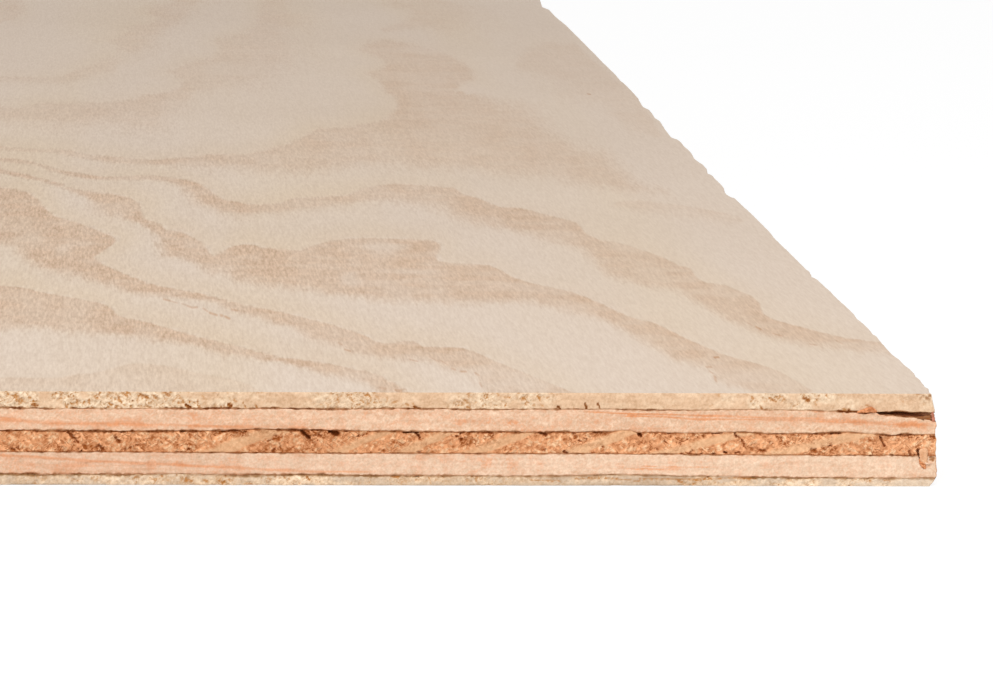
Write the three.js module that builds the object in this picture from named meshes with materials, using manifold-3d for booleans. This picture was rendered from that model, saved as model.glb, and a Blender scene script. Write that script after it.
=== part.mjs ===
// A full sheet of five-ply softwood plywood, lying flat on its back veneer. Millimetres, +Z up.
// X runs across the face grain and Y along it. The origin is the middle of the underside.
// Each veneer is one solid. They are glued face to face with the grain turned a quarter at each
// glue line: the face, core and back veneers run along Y, the two crossbands along X.

import * as THREE from "three";
import { ConvexGeometry } from "three/addons/geometries/ConvexGeometry.js";
import { mergeVertices } from "three/addons/utils/BufferGeometryUtils.js";
import Module from "manifold-3d";

// The sheet
const sheetWidth = 1219.2;
const sheetLength = 2438.4;

// Veneer thicknesses, from the underside up
const backVeneer = 2.1;
const lowerCrossband = 4.4;
const coreVeneer = 4.3;
const upperCrossband = 4.4;
const faceVeneer = 3.1;

// The right-hand long edge: its saw cut leans in towards the face, and the face's arris is worn
const sawLean = 0.6;
const arrisWear = 0.6;

// The glue line that has opened at the front right corner, under the face veneer
const openLength = 11.5;
const openHeight = 1.1;
const openDepth = 7;

// The corner knocked off the back veneer at the front right: its reach along X, Z and Y
const brokenWidth = 2.4;
const brokenHeight = 2;
const brokenLength = 9;

// The splinter torn out of the front edge, across the glue line under the core veneer
const tornFromCorner = 1.7;
const tornWidth = 2.3;
const tornAboveGlue = 0.9;
const tornBelowGlue = 3.1;
const tornDepth = 0.9;

// How far a cutter stands out of what it cuts
const clearOfFace = 1;

// The section is drawn with x across the sheet, y up through the veneers and z towards the front edge
const rightEdge = sheetWidth / 2;
const frontEdge = sheetLength;
const glue = {
  back: backVeneer,
  lower: backVeneer + lowerCrossband,
  upper: backVeneer + lowerCrossband + coreVeneer,
  face: backVeneer + lowerCrossband + coreVeneer + upperCrossband,
};
const topFace = glue.face + faceVeneer;

/** How far the right-hand edge stands in from the full width, at height y. */
function edgeInset(y) {
  const rise = (y - glue.back) / (glue.face - glue.back);
  const wear = y > glue.face ? arrisWear * ((y - glue.face) / faceVeneer) : 0;
  return sawLean * THREE.MathUtils.clamp(rise, 0, 1) + wear;
}

/** A prism with an outline in the section, from one place to another along the sheet's length. */
function prism(outline, from, to) {
  const shape = new THREE.Shape(outline.map(([x, y]) => new THREE.Vector2(x, y)));
  const solid = new THREE.ExtrudeGeometry(shape, { depth: to - from, bevelEnabled: false });
  return solid.translate(0, 0, from);
}

/** One veneer as it leaves the saw: the band of the section between two heights. */
function sawnVeneer(bottom, top) {
  const outline = [
    [-rightEdge, bottom],
    [rightEdge - edgeInset(bottom), bottom],
    [rightEdge - edgeInset(top), top],
    [-rightEdge, top],
  ];
  return prism(outline, 0, frontEdge);
}

/** The wedge of air between the face veneer and the upper crossband, widest at the corner. */
function openGlueLine() {
  const start = rightEdge - openLength;
  const end = rightEdge + clearOfFace;
  const slope = openHeight / openLength;
  const outline = [
    [start, glue.face],
    [end, glue.face - slope * (end - start)],
    [end, glue.face + clearOfFace],
    [start, glue.face + clearOfFace],
  ];
  return prism(outline, frontEdge - openDepth, frontEdge + clearOfFace);
}

/** The missing corner: all that lies outside a plane cut across the lower front right corner. */
function brokenCorner() {
  const apex = new THREE.Vector3(rightEdge + clearOfFace, -clearOfFace, frontEdge + clearOfFace);
  const reaches = [brokenWidth, brokenHeight, brokenLength];
  const grown = 1 + reaches.reduce((sum, reach) => sum + clearOfFace / reach, 0);
  const [alongX, alongY, alongZ] = reaches.map((reach) => reach * grown);
  return new ConvexGeometry([
    apex,
    apex.clone().add(new THREE.Vector3(-alongX, 0, 0)),
    apex.clone().add(new THREE.Vector3(0, alongY, 0)),
    apex.clone().add(new THREE.Vector3(0, 0, -alongZ)),
  ]);
}

/** The splinter's bed: a groove that narrows downwards, in the face of the front edge. */
function tornSplinter() {
  const right = rightEdge - tornFromCorner;
  const left = right - tornWidth;
  const narrowing = tornWidth / 5;
  const outline = [
    [left, glue.lower + tornAboveGlue],
    [left + narrowing, glue.lower - tornBelowGlue],
    [right - narrowing, glue.lower - tornBelowGlue],
    [right, glue.lower + tornAboveGlue],
  ];
  return prism(outline, frontEdge - tornDepth, frontEdge + clearOfFace);
}

const wasm = await Module();
wasm.setup();

/** A closed geometry as a solid that can be cut. */
function solidOf(geometry) {
  const bare = new THREE.BufferGeometry();
  const loose = geometry.index ? geometry.toNonIndexed() : geometry;
  bare.setAttribute("position", loose.getAttribute("position"));
  const merged = mergeVertices(bare);
  return new wasm.Manifold(
    new wasm.Mesh({
      numProp: 3,
      vertProperties: merged.attributes.position.array,
      triVerts: new Uint32Array(merged.index.array),
    }),
  );
}

/** A geometry with the cutters taken away from it. */
function cut(geometry, cutters) {
  let solid = solidOf(geometry);
  for (const cutter of cutters) {
    solid = solid.subtract(solidOf(cutter));
  }
  const mesh = solid.getMesh();
  const indexed = new THREE.BufferGeometry();
  indexed.setAttribute("position", new THREE.BufferAttribute(mesh.vertProperties, 3));
  indexed.setIndex(new THREE.BufferAttribute(mesh.triVerts, 1));
  const faceted = indexed.toNonIndexed();
  faceted.computeVertexNormals();
  return faceted;
}

/** Sawn softwood of one colour. */
function wood(color) {
  return new THREE.MeshStandardMaterial({ color, roughness: 0.72, metalness: 0 });
}

const sandedFace = wood(0xe3d3c0);
const pinkCrossband = wood(0xf0c8a4);
const tornCore = wood(0xdca276);
const paleBack = wood(0xe2c8a2);

const sheet = new THREE.Group();

/** Adds one veneer to the sheet, with its damage cut out of it. */
function addVeneer(name, bottom, top, material, cutters = []) {
  const sawn = sawnVeneer(bottom, top);
  const veneer = new THREE.Mesh(cutters.length ? cut(sawn, cutters) : sawn, material);
  veneer.name = name;
  sheet.add(veneer);
}

addVeneer("back_veneer", 0, glue.back, paleBack, [brokenCorner()]);
addVeneer("lower_crossband", glue.back, glue.lower, pinkCrossband, [brokenCorner(), tornSplinter()]);
addVeneer("core_veneer", glue.lower, glue.upper, tornCore, [tornSplinter()]);
addVeneer("upper_crossband", glue.upper, glue.face, pinkCrossband, [openGlueLine()]);
addVeneer("face_veneer", glue.face, topFace, sandedFace);

// The section stands up and its front edge faces -Y, with the sheet's middle over the origin
sheet.rotation.x = Math.PI / 2;
sheet.position.y = sheetLength / 2;

export default sheet;
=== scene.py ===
"""Dresses a softwood plywood sheet: five sawn veneers with their grain, glue lines and damage.

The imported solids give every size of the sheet. Shapes are worked out in millimetres and put into
the meshes in metres. X runs across the face grain and Y along it, away from the front edge.
"""

import bpy
import numpy as np
from bpy.props import FloatProperty, FloatVectorProperty, PointerProperty
from mathutils import Matrix, Vector


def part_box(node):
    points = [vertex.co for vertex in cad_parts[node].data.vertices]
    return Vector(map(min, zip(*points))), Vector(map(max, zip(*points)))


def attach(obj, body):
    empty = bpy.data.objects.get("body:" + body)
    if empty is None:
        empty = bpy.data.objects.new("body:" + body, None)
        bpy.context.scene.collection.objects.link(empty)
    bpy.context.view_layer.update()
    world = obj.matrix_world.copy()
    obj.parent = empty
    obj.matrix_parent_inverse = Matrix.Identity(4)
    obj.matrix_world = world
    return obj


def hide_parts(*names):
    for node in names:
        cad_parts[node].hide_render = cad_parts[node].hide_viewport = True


bl_info = {
    "name": "Plywood Sheet",
    "version": (1, 0, 0),
    "blender": (4, 5, 0),
    "location": "View3D > Sidebar > Plywood",
    "description": "Builds the veneers, glue lines, growth rings and damage of a plywood sheet",
    "category": "Add Mesh",
}

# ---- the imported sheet

MM = 0.001
LAYERS = ("back_veneer", "lower_crossband", "core_veneer", "upper_crossband", "face_veneer")
BACK, LOWER, CORE, UPPER, FACE = range(5)
FRONT_EDGE, RIGHT_EDGE, REAR_EDGE, LEFT_EDGE = range(4)
# The sheet's outer faces: the veneer of each, and whether it is that veneer's top
OUTER_FACES = ((BACK, False), (FACE, True))

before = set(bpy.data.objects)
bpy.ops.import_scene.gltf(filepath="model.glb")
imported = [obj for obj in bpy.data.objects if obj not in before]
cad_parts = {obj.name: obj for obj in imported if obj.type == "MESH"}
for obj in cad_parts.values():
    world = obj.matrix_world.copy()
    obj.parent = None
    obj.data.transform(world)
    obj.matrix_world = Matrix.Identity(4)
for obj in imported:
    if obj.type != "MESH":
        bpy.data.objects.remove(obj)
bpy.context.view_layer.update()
boxes = [[np.array(corner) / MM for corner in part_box(layer)] for layer in LAYERS]
LEFT, FRONT, BOTTOM = np.min([low for low, high in boxes], axis=0)
RIGHT, REAR, TOP = np.max([high for low, high in boxes], axis=0)
LEVELS = [BOTTOM] + [high[2] for low, high in boxes]
SAW_LEAN = RIGHT - boxes[FACE][1][0]

# The camera's frame, in pixels, and its sensor's width in millimetres
VIEW_WIDTH, VIEW_HEIGHT = 993, 690
SENSOR_WIDTH = 36.0

# ---- the face's growth rings

# Latewood on the sanded face: how deep and how yellow each ring is, and in pixels of the camera's frame
# the side where a year's growth stops short, and the side where it fades in
FIGURE = [
    (0.34, 0.6,
     [(-60, 377), (60, 378), (75, 374), (90, 374), (108, 370), (125, 365), (140, 363), (160, 365),
      (200, 373), (240, 381), (255, 388), (268, 400)],
     [(-60, 420), (268, 420)]),
    (1.0, 0,
     [(-60, 276), (0, 286), (20, 287), (40, 292), (80, 299), (100, 303), (108, 306), (114, 312), (122, 318),
      (140, 320), (160, 326), (200, 337), (240, 347), (280, 357), (320, 362), (360, 370), (380, 375),
      (392, 382), (405, 389), (422, 400)],
     [(-60, 322), (0, 330), (30, 327), (80, 333), (120, 336), (165, 341), (180, 342), (200, 347),
      (220, 353), (255, 359), (280, 361), (300, 366), (320, 372), (340, 376), (360, 381), (375, 388),
      (388, 400)]),
    (1.0, 0,
     [(-60, 178), (0, 187), (14, 189), (30, 193), (38, 200), (48, 211), (56, 217), (70, 220), (100, 231),
      (118, 239), (112, 245), (101, 252), (93, 258), (110, 268), (140, 280), (158, 286), (200, 293),
      (240, 304), (290, 314), (330, 324), (350, 330), (364, 335), (380, 343), (395, 343), (408, 340),
      (418, 343), (426, 347), (452, 347), (465, 348), (480, 354), (500, 363), (545, 381), (575, 393),
      (595, 402)],
     [(-60, 236), (0, 243), (18, 247), (24, 257), (36, 266), (45, 271), (78, 277), (112, 285), (125, 291),
      (160, 296), (200, 300), (218, 303), (228, 309), (270, 321), (290, 326), (300, 331), (310, 339),
      (330, 344), (350, 351), (370, 357), (400, 360), (430, 360), (455, 371), (470, 372), (480, 381),
      (487, 393), (492, 402)]),
    (1.0, 0,
     [(-60, 158), (0, 169), (20, 173), (60, 183), (70, 188), (85, 191), (110, 193), (128, 197), (141, 204),
      (141, 212), (145, 219), (160, 224), (165, 230), (180, 231), (192, 237), (202, 242), (207, 250),
      (218, 258), (222, 252), (232, 246), (250, 244), (262, 248), (285, 249), (300, 251), (310, 246),
      (330, 241), (345, 239), (370, 238), (430, 240), (440, 243), (441, 250), (436, 256), (438, 261),
      (450, 263), (490, 265), (502, 271), (520, 280), (535, 284), (570, 291), (600, 303), (628, 316),
      (640, 320), (655, 323), (690, 340), (725, 355), (765, 366), (780, 371), (805, 386), (830, 402)],
     [(-60, 161), (0, 173), (40, 181), (60, 187), (75, 193), (88, 198), (95, 208), (105, 214), (120, 218),
      (140, 223), (150, 229), (160, 236), (163, 255), (180, 258), (195, 262), (205, 270), (215, 273),
      (225, 272), (235, 280), (265, 287), (305, 290), (330, 293), (370, 300), (400, 302), (440, 302),
      (470, 303), (500, 301), (530, 301), (560, 310), (600, 319), (622, 328), (632, 334), (645, 344),
      (660, 350), (672, 358), (690, 363), (708, 368), (716, 380), (740, 387), (760, 396), (775, 402)]),
    (0.9, 0,
     [(-60, 150), (0, 158), (20, 159), (35, 162), (65, 171), (85, 174), (105, 177), (150, 175), (178, 178),
      (200, 184), (210, 190), (222, 199), (240, 203), (260, 205), (280, 203), (295, 198), (330, 196),
      (345, 195), (370, 187), (390, 184), (410, 184), (440, 187), (455, 188), (462, 194), (475, 197),
      (500, 207), (520, 208), (560, 218), (578, 223), (585, 233), (600, 240), (620, 243), (660, 256),
      (680, 266), (690, 268), (697, 278), (705, 283), (722, 284), (752, 296), (760, 303), (763, 314),
      (775, 320), (820, 332), (845, 338), (880, 342), (900, 345)],
     [(-60, 153), (0, 161), (35, 165), (65, 175), (100, 180), (160, 180), (175, 184), (185, 190),
      (200, 204), (220, 212), (240, 215), (260, 213), (280, 212), (320, 207), (350, 203), (380, 200),
      (400, 201), (430, 206), (445, 210), (455, 217), (470, 222), (500, 226), (545, 238), (580, 248),
      (590, 254), (600, 268), (608, 275), (625, 279), (655, 287), (680, 293), (700, 303), (728, 320),
      (758, 332), (775, 338), (800, 345), (845, 350), (888, 353), (910, 356)]),
    (0.68, 0,
     [(-60, 140), (0, 146), (20, 148), (70, 150), (85, 154), (130, 158), (155, 160), (190, 157), (210, 154),
      (245, 155), (265, 150), (290, 143), (318, 129), (352, 126), (385, 120), (398, 108), (398, 98),
      (385, 92), (378, 80), (366, 74), (382, 70), (388, 62), (378, 57), (360, 50), (370, 42), (385, 40),
      (410, 44), (440, 52), (462, 62), (472, 72), (474, 80), (460, 84), (455, 92)],
     [(-60, 144), (0, 150), (20, 151), (60, 154), (80, 158), (120, 164), (180, 165), (230, 168), (260, 171),
      (290, 173), (320, 171), (340, 166), (360, 163), (420, 167), (480, 170), (500, 174), (550, 176),
      (570, 182), (610, 188), (630, 191), (665, 193), (635, 184), (622, 172), (615, 162), (600, 152),
      (575, 145), (555, 136), (542, 122), (532, 108), (500, 103), (475, 95)]),
    (0.35, 0,
     [(615, 202), (640, 200), (660, 203), (680, 205), (700, 208), (730, 214), (745, 219)],
     [(615, 206), (640, 212), (680, 217), (700, 219), (725, 222), (745, 222)]),
    (0.4, 0,
     [(-60, 112), (0, 106), (20, 108), (40, 103), (100, 103), (135, 99), (150, 94), (170, 92), (180, 87),
      (183, 80), (168, 72), (180, 66), (190, 61), (215, 58), (222, 50), (215, 42), (225, 37), (245, 33),
      (255, 25), (262, 10), (265, -25)],
     [(-60, 125), (0, 121), (60, 127), (80, 128), (100, 122), (140, 130), (160, 132), (168, 118),
      (180, 108), (190, 98), (200, 92), (220, 90), (240, 84), (262, 83), (275, 72), (290, 64), (300, 50),
      (290, 42), (283, 30), (303, 27), (306, 17), (288, 12), (290, -25)]),
    (0.3, 0,
     [(-60, 74), (0, 77), (60, 77), (75, 71), (90, 66), (100, 60), (112, 56), (121, 60)],
     [(-60, 82), (0, 82), (65, 83), (80, 79), (100, 76), (115, 71)]),
    (0.4, 0,
     [(108, 41), (120, 37), (130, 27), (150, 24), (160, 18), (145, 12), (150, 8), (170, 4), (185, -12)],
     [(112, 44), (125, 52), (140, 52), (155, 46), (155, 40), (165, 30), (180, 22), (190, 12), (200, 4),
      (215, -12)]),
    (0.35, 0,
     [(385, -20), (388, 6), (410, 10), (408, 20), (395, 24), (378, 30)],
     [(460, -20), (462, 5), (478, 12), (475, 25), (460, 30), (445, 32), (420, 28), (385, 32)]),
    (0.35, 0,
     [(-60, -20), (20, -20), (22, 14), (12, 20)],
     [(-60, 24), (0, 22)]),
    (0.3, 0,
     [(515, 62), (530, 48), (545, 42), (575, 44), (590, 58), (600, 66), (625, 86), (640, 100), (655, 125),
      (662, 137)],
     [(517, 70), (530, 72), (560, 82), (565, 92), (575, 102), (600, 104), (630, 130), (655, 137)]),
]

# Pale eyes inside the latewood: centre and half-size in pixels of the camera's frame, and how pale
PALE_EYES = [
    ((385, 247), (27, 5), 0.65), ((505, 380), (75, 16), 0.42), ((770, 380), (80, 18), 0.38),
    ((352, 279), (11, 7), 0.55), ((250, 257), (12, 3), 0.3), ((420, 272), (30, 3), 0.45),
    ((30, 238), (16, 6), 0.4), ((62, 250), (10, 6), 0.35), ((430, 50), (30, 6), 0.5),
    ((235, 69), (35, 7), 0.5)
]

# Dark flecks of resin on the face, in pixels of the camera's frame: where each starts and ends, half
# its width, and how dark it is
FLECKS = [
    (756.5, 327, 760, 329, 1.3, 0.8), (748, 323, 752, 325, 0.8, 0.5), (773, 333.5, 782, 336, 0.8, 0.5),
    (714.5, 357.5, 718.5, 357, 1.0, 1.0), (706.5, 367, 711, 367, 1.0, 0.6),
    (710, 371.5, 712.5, 373, 1.0, 0.6), (715, 376.5, 716, 381, 1.2, 0.65), (810, 344, 816, 345, 0.9, 0.5),
    (837, 341, 842, 343.5, 1.0, 0.45), (345, 349.5, 350, 351, 1.0, 0.75),
    (410, 359.5, 417.5, 361.3, 0.8, 0.6), (429.5, 357, 438, 361, 0.8, 0.45), (440, 360, 448, 365, 0.8, 0.4),
    (452, 368.5, 455, 369.5, 1.1, 0.7), (461, 371.5, 466, 371.5, 1.1, 0.75),
    (475.5, 373, 478.5, 375, 1.1, 0.65), (480, 383, 481.5, 386, 1.0, 0.55),
    (396, 390.5, 401, 391, 1.3, 0.75), (380, 387.5, 386, 388.5, 1.2, 0.4), (339, 343, 342, 344.5, 1.0, 0.5),
    (588, 94, 590, 94.3, 1.0, 1.0), (163.8, 299.2, 170, 300.8, 1.0, 0.75),
    (170, 300.8, 177, 302.9, 0.8, 0.5), (182, 303.8, 187, 305.4, 0.8, 0.5),
    (187.5, 305.8, 192.5, 307.6, 1.1, 0.7), (192.5, 307.6, 197, 307.1, 1.1, 0.7),
    (203.3, 308.3, 207.5, 311.3, 1.0, 0.6), (210, 312.9, 216.7, 315, 1.3, 0.85),
    (221, 315.3, 222, 315.6, 1.5, 0.8), (225.4, 316.5, 229.2, 318.5, 1.3, 0.9),
    (232, 309.6, 237, 310.5, 1.1, 0.6)
]

# ---- the edge, from the front right corner

# Growth rings in the core's end grain: distance from the corner where each is at half height, its
# rise towards the corner, and half its upright thickness
CORE_RINGS = [
    (22.2, 0.24, 0.95), (45.4, 0.27, 0.9), (66.2, 0.38, 1.05), (85.7, 0.40, 1.1), (100.4, 0.48, 0.95),
    (112.6, 0.40, 0.75), (135.6, 0.40, 1.3)
]

# How torn the face veneer's end grain is, by distance from the corner
FACE_TEAR = [
    (0, 0.45), (10, 0.25), (19, 0.35), (23, 0.9), (35, 0.85), (38, 0.5), (47, 0.45), (50, 0.12), (73, 0.15),
    (77, 0.75), (94, 0.75), (97, 0.15), (104, 0.2), (107, 0.8), (120, 0.8), (124, 0.2), (131, 0.25),
    (136, 0.75), (140, 1.0), (184, 1.0)
]

# The same for the back veneer
BACK_TEAR = [
    (0, 0.4), (48, 0.5), (52, 0.15), (78, 0.15), (84, 0.7), (110, 0.4), (140, 0.75), (160, 0.3), (184, 0.4),
    (400, 0.4)
]

# The glue lines from the bottom up: half width in millimetres and how dark they are
# The line over the core is wide and dark partly as painted shade under the upper crossband's edge
GLUE_LINES = [(0.24, 0.75), (0.16, 0.95), (0.21, 1.0), (0.15, 0.95)]

# Latewood lines in the crossbands' long grain: distance from the corner and height, width, and depth
UPPER_STREAKS = [
    ([(1, 12.2), (9, 12.3), (17, 12.7), (27, 13.05), (34, 13.2)], 0.65, 0.75),
    ([(2, 12.1), (9, 12.15), (13, 12.5), (17, 12.55), (21, 12.7), (25, 12.9), (29, 13.05), (36, 13.15),
      (46, 13.25), (49, 13.3), (53, 13.6), (56, 13.72), (60, 13.8)], 0.2, 1.0),
    ([(24, 13.5), (33, 13.5), (36, 13.65), (43, 13.9), (48, 13.96), (54, 14.2), (60, 14.25), (64, 14.4),
      (68, 14.6)], 0.18, 1.0),
    ([(4, 13.55), (9, 13.9), (14, 14.35)], 0.16, 0.4),
    ([(124, 11.45), (134, 11.48), (146, 11.66), (158, 11.95), (173, 12.2), (181, 12.9), (190, 13.4),
      (200, 13.5)], 0.45, 0.55),
    ([(124, 11.45), (134, 11.48), (138, 11.65), (146, 11.66), (151, 11.8), (154, 11.85), (158, 12.02),
      (165, 12.08), (173, 12.18), (177, 12.4), (181, 13.1), (190, 13.5), (200, 13.6)], 0.18, 0.95),
]
LOWER_STREAKS = [
    ([(112, 2.7), (123, 2.75), (130, 3.1), (134, 3.25), (138, 3.6), (146, 3.8), (150, 4.15), (157, 4.37),
      (161, 4.56), (165, 4.75), (169, 5.13), (173, 5.32), (178, 5.7), (190, 5.9)], 0.22, 1.0),
    ([(162, 3.8), (174, 3.9)], 0.25, 0.4),
    ([(53, 3.35), (60, 3.4), (66, 3.45)], 0.08, 0.8),
    ([(45, 3.75), (50, 3.7), (56, 3.9)], 0.08, 0.8),
]
CROSSBAND_STREAKS = {LOWER: LOWER_STREAKS, UPPER: UPPER_STREAKS}

# How worn the lower front arris is: its radius by distance from the corner
LOWER_WEAR = [
    (0, 0.05), (30, 0.05), (45, 0.2), (55, 0.5), (66, 0.5), (72, 0.25), (120, 0.3), (184, 0.4), (400, 0.2)
]

# Paler and browner stretches of each veneer along the front edge: where each starts and ends, by distance
# from the corner, and how much lighter it is
EDGE_LIGHT = {
    BACK: [(-9, 32, 0.4), (32, 44, -0.2), (44, 57, -0.85), (57, 80, -0.55), (80, 96, -0.85),
        (96, 114, -0.5), (116, 126, 0.2), (134, 151, -0.55), (169, 205, -0.65)],
    LOWER: [(-9, 78, 0.37), (78, 90, 0.15), (136, 149, -0.25), (149, 156, -0.6), (156, 210, -0.4)],
    CORE: [(-9, 8, 1.15), (8, 21, 0.35), (21, 33, 0.85), (33, 56, 0.55), (56, 78, 0.3), (95, 126, -0.2),
        (126, 134, -0.65), (134, 200, -0.2)],
    UPPER: [(-9, 11, 0.3), (11, 45, 0.1), (90, 130, 0.1)],
    FACE: [(-9, 10, 0.1), (10, 21, -0.15), (21, 52, 0.2), (54, 66, -0.15), (68, 82, 0.1), (90, 157, -0.2)],
}

# The face's worn right-hand arris, from the back to the front corner, in pixels of the camera's frame
ARRIS_OUTLINE = [
    (533, -10), (540, 0), (542.5, 7), (549, 9.5), (556, 17), (566, 25), (580, 39), (592, 51), (596, 55),
    (602, 61.5), (609, 68), (616, 75), (620, 80), (625, 84), (632, 91), (638, 98), (642, 105), (643.5, 107),
    (649, 109.5), (652, 113), (655, 118), (660, 121), (664, 127.5), (668, 133), (671.5, 137.5),
    (678, 139.5), (681, 142), (684, 146), (690, 151), (692, 154), (694.5, 158.5), (699, 162), (703, 164.5),
    (707, 169), (706.5, 172), (708, 173.5), (712, 175), (716, 179.5), (720, 183), (724, 187.5), (724, 191),
    (727, 194.5), (731, 197), (735, 198), (738, 201), (742, 205), (750, 212), (761, 223), (769, 231),
    (775, 238.5), (790, 253), (799, 262), (806, 269), (809, 271), (811, 274.5), (812, 277), (815, 278),
    (818, 280), (830, 291), (838, 299), (849, 309), (853, 313), (857, 318.5), (864, 324), (870, 330),
    (873, 334.5), (876, 335.5), (882, 343), (889, 351), (893, 355), (900, 360), (904, 364.5), (910, 369),
    (914, 373), (915.5, 376), (920, 379.5), (923, 383.5), (925.5, 387), (929, 388.5), (928.5, 391),
    (931, 393)
]

# How far each glue line lies under its level, by distance from the front right corner, bottom up
LINE_SAG = [
    [(0, 0.5), (27, 0.45), (44, 0.2), (63, -0.05), (80, 0.25), (100, 0.1), (113, 0.2), (120, 0), (137, 0.1),
     (148, -0.15), (160, 0), (400, 0)],
    [(0, 0.45), (17, 0.4), (42, 0.3), (60, 0.15), (112, 0.15), (140, 0.05), (160, -0.05), (400, 0)],
    [(0, 0.45), (2, 0.45), (4, 0.7), (6.5, 0.4), (9, 0.8), (12, 0.5), (18, 0), (25, 0.45), (35, 0.35),
     (38, 0.1), (48, 0.35), (59, 0.25), (60.5, -0.2), (62, -0.25), (64.5, 0.2), (92, 0.2), (110, 0.1),
     (122, 0), (132, -0.25), (136, -0.2), (139, 0.1), (184, 0.15), (400, 0)],
    [(0, 0.6), (9, 0.5), (15, 0.7), (22, 0.3), (30, 0.15), (43, 0.05), (49, 0.25), (68, 0), (88, 0.2),
     (98, 0), (107, 0), (118, 0.2), (131, 0.05), (150, 0.15), (171, 0.2), (184, 0), (400, 0)],
]

# How dark each glue line is along the front edge, bottom up: pixel across the camera's frame, darkness
LINE_DARKNESS = [
    [(0, 0.9), (115, 0.9), (150, 0.6), (195, 0.4), (250, 0.8), (380, 0.8), (500, 0.6), (640, 0.65),
     (680, 0.5), (730, 0.5), (755, 0.85), (830, 0.7), (935, 0.6)],
    [(0, 0.4), (14, 0.7), (100, 0.6), (300, 0.7), (480, 0.55), (640, 0.6), (735, 0.65), (760, 0.45),
     (800, 0.6), (915, 0.7), (935, 0.6)],
    [(0, 0.95), (215, 0.85), (225, 0.5), (237, 1), (262, 0.45), (275, 0.9), (338, 0.95), (362, 0.6),
     (400, 0.85), (440, 0.55), (470, 0.9), (515, 0.9), (525, 0.3), (540, 0.85), (600, 0.7), (620, 0.35),
     (640, 0.55), (690, 0.4), (760, 0.6), (838, 0.9), (848, 0.5), (870, 0.35), (880, 0.8), (935, 0.7)],
    [(0, 0.95), (20, 0.95), (27, 0.5), (40, 0.95), (52, 0.95), (57, 0.5), (92, 0.8), (105, 0.5), (215, 0.9),
     (270, 0.9), (340, 0.6), (420, 0.95), (500, 0.65), (605, 0.5), (640, 0.7), (690, 0.45), (835, 0.4),
     (840, 0.95), (935, 0.95)],
]
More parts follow.
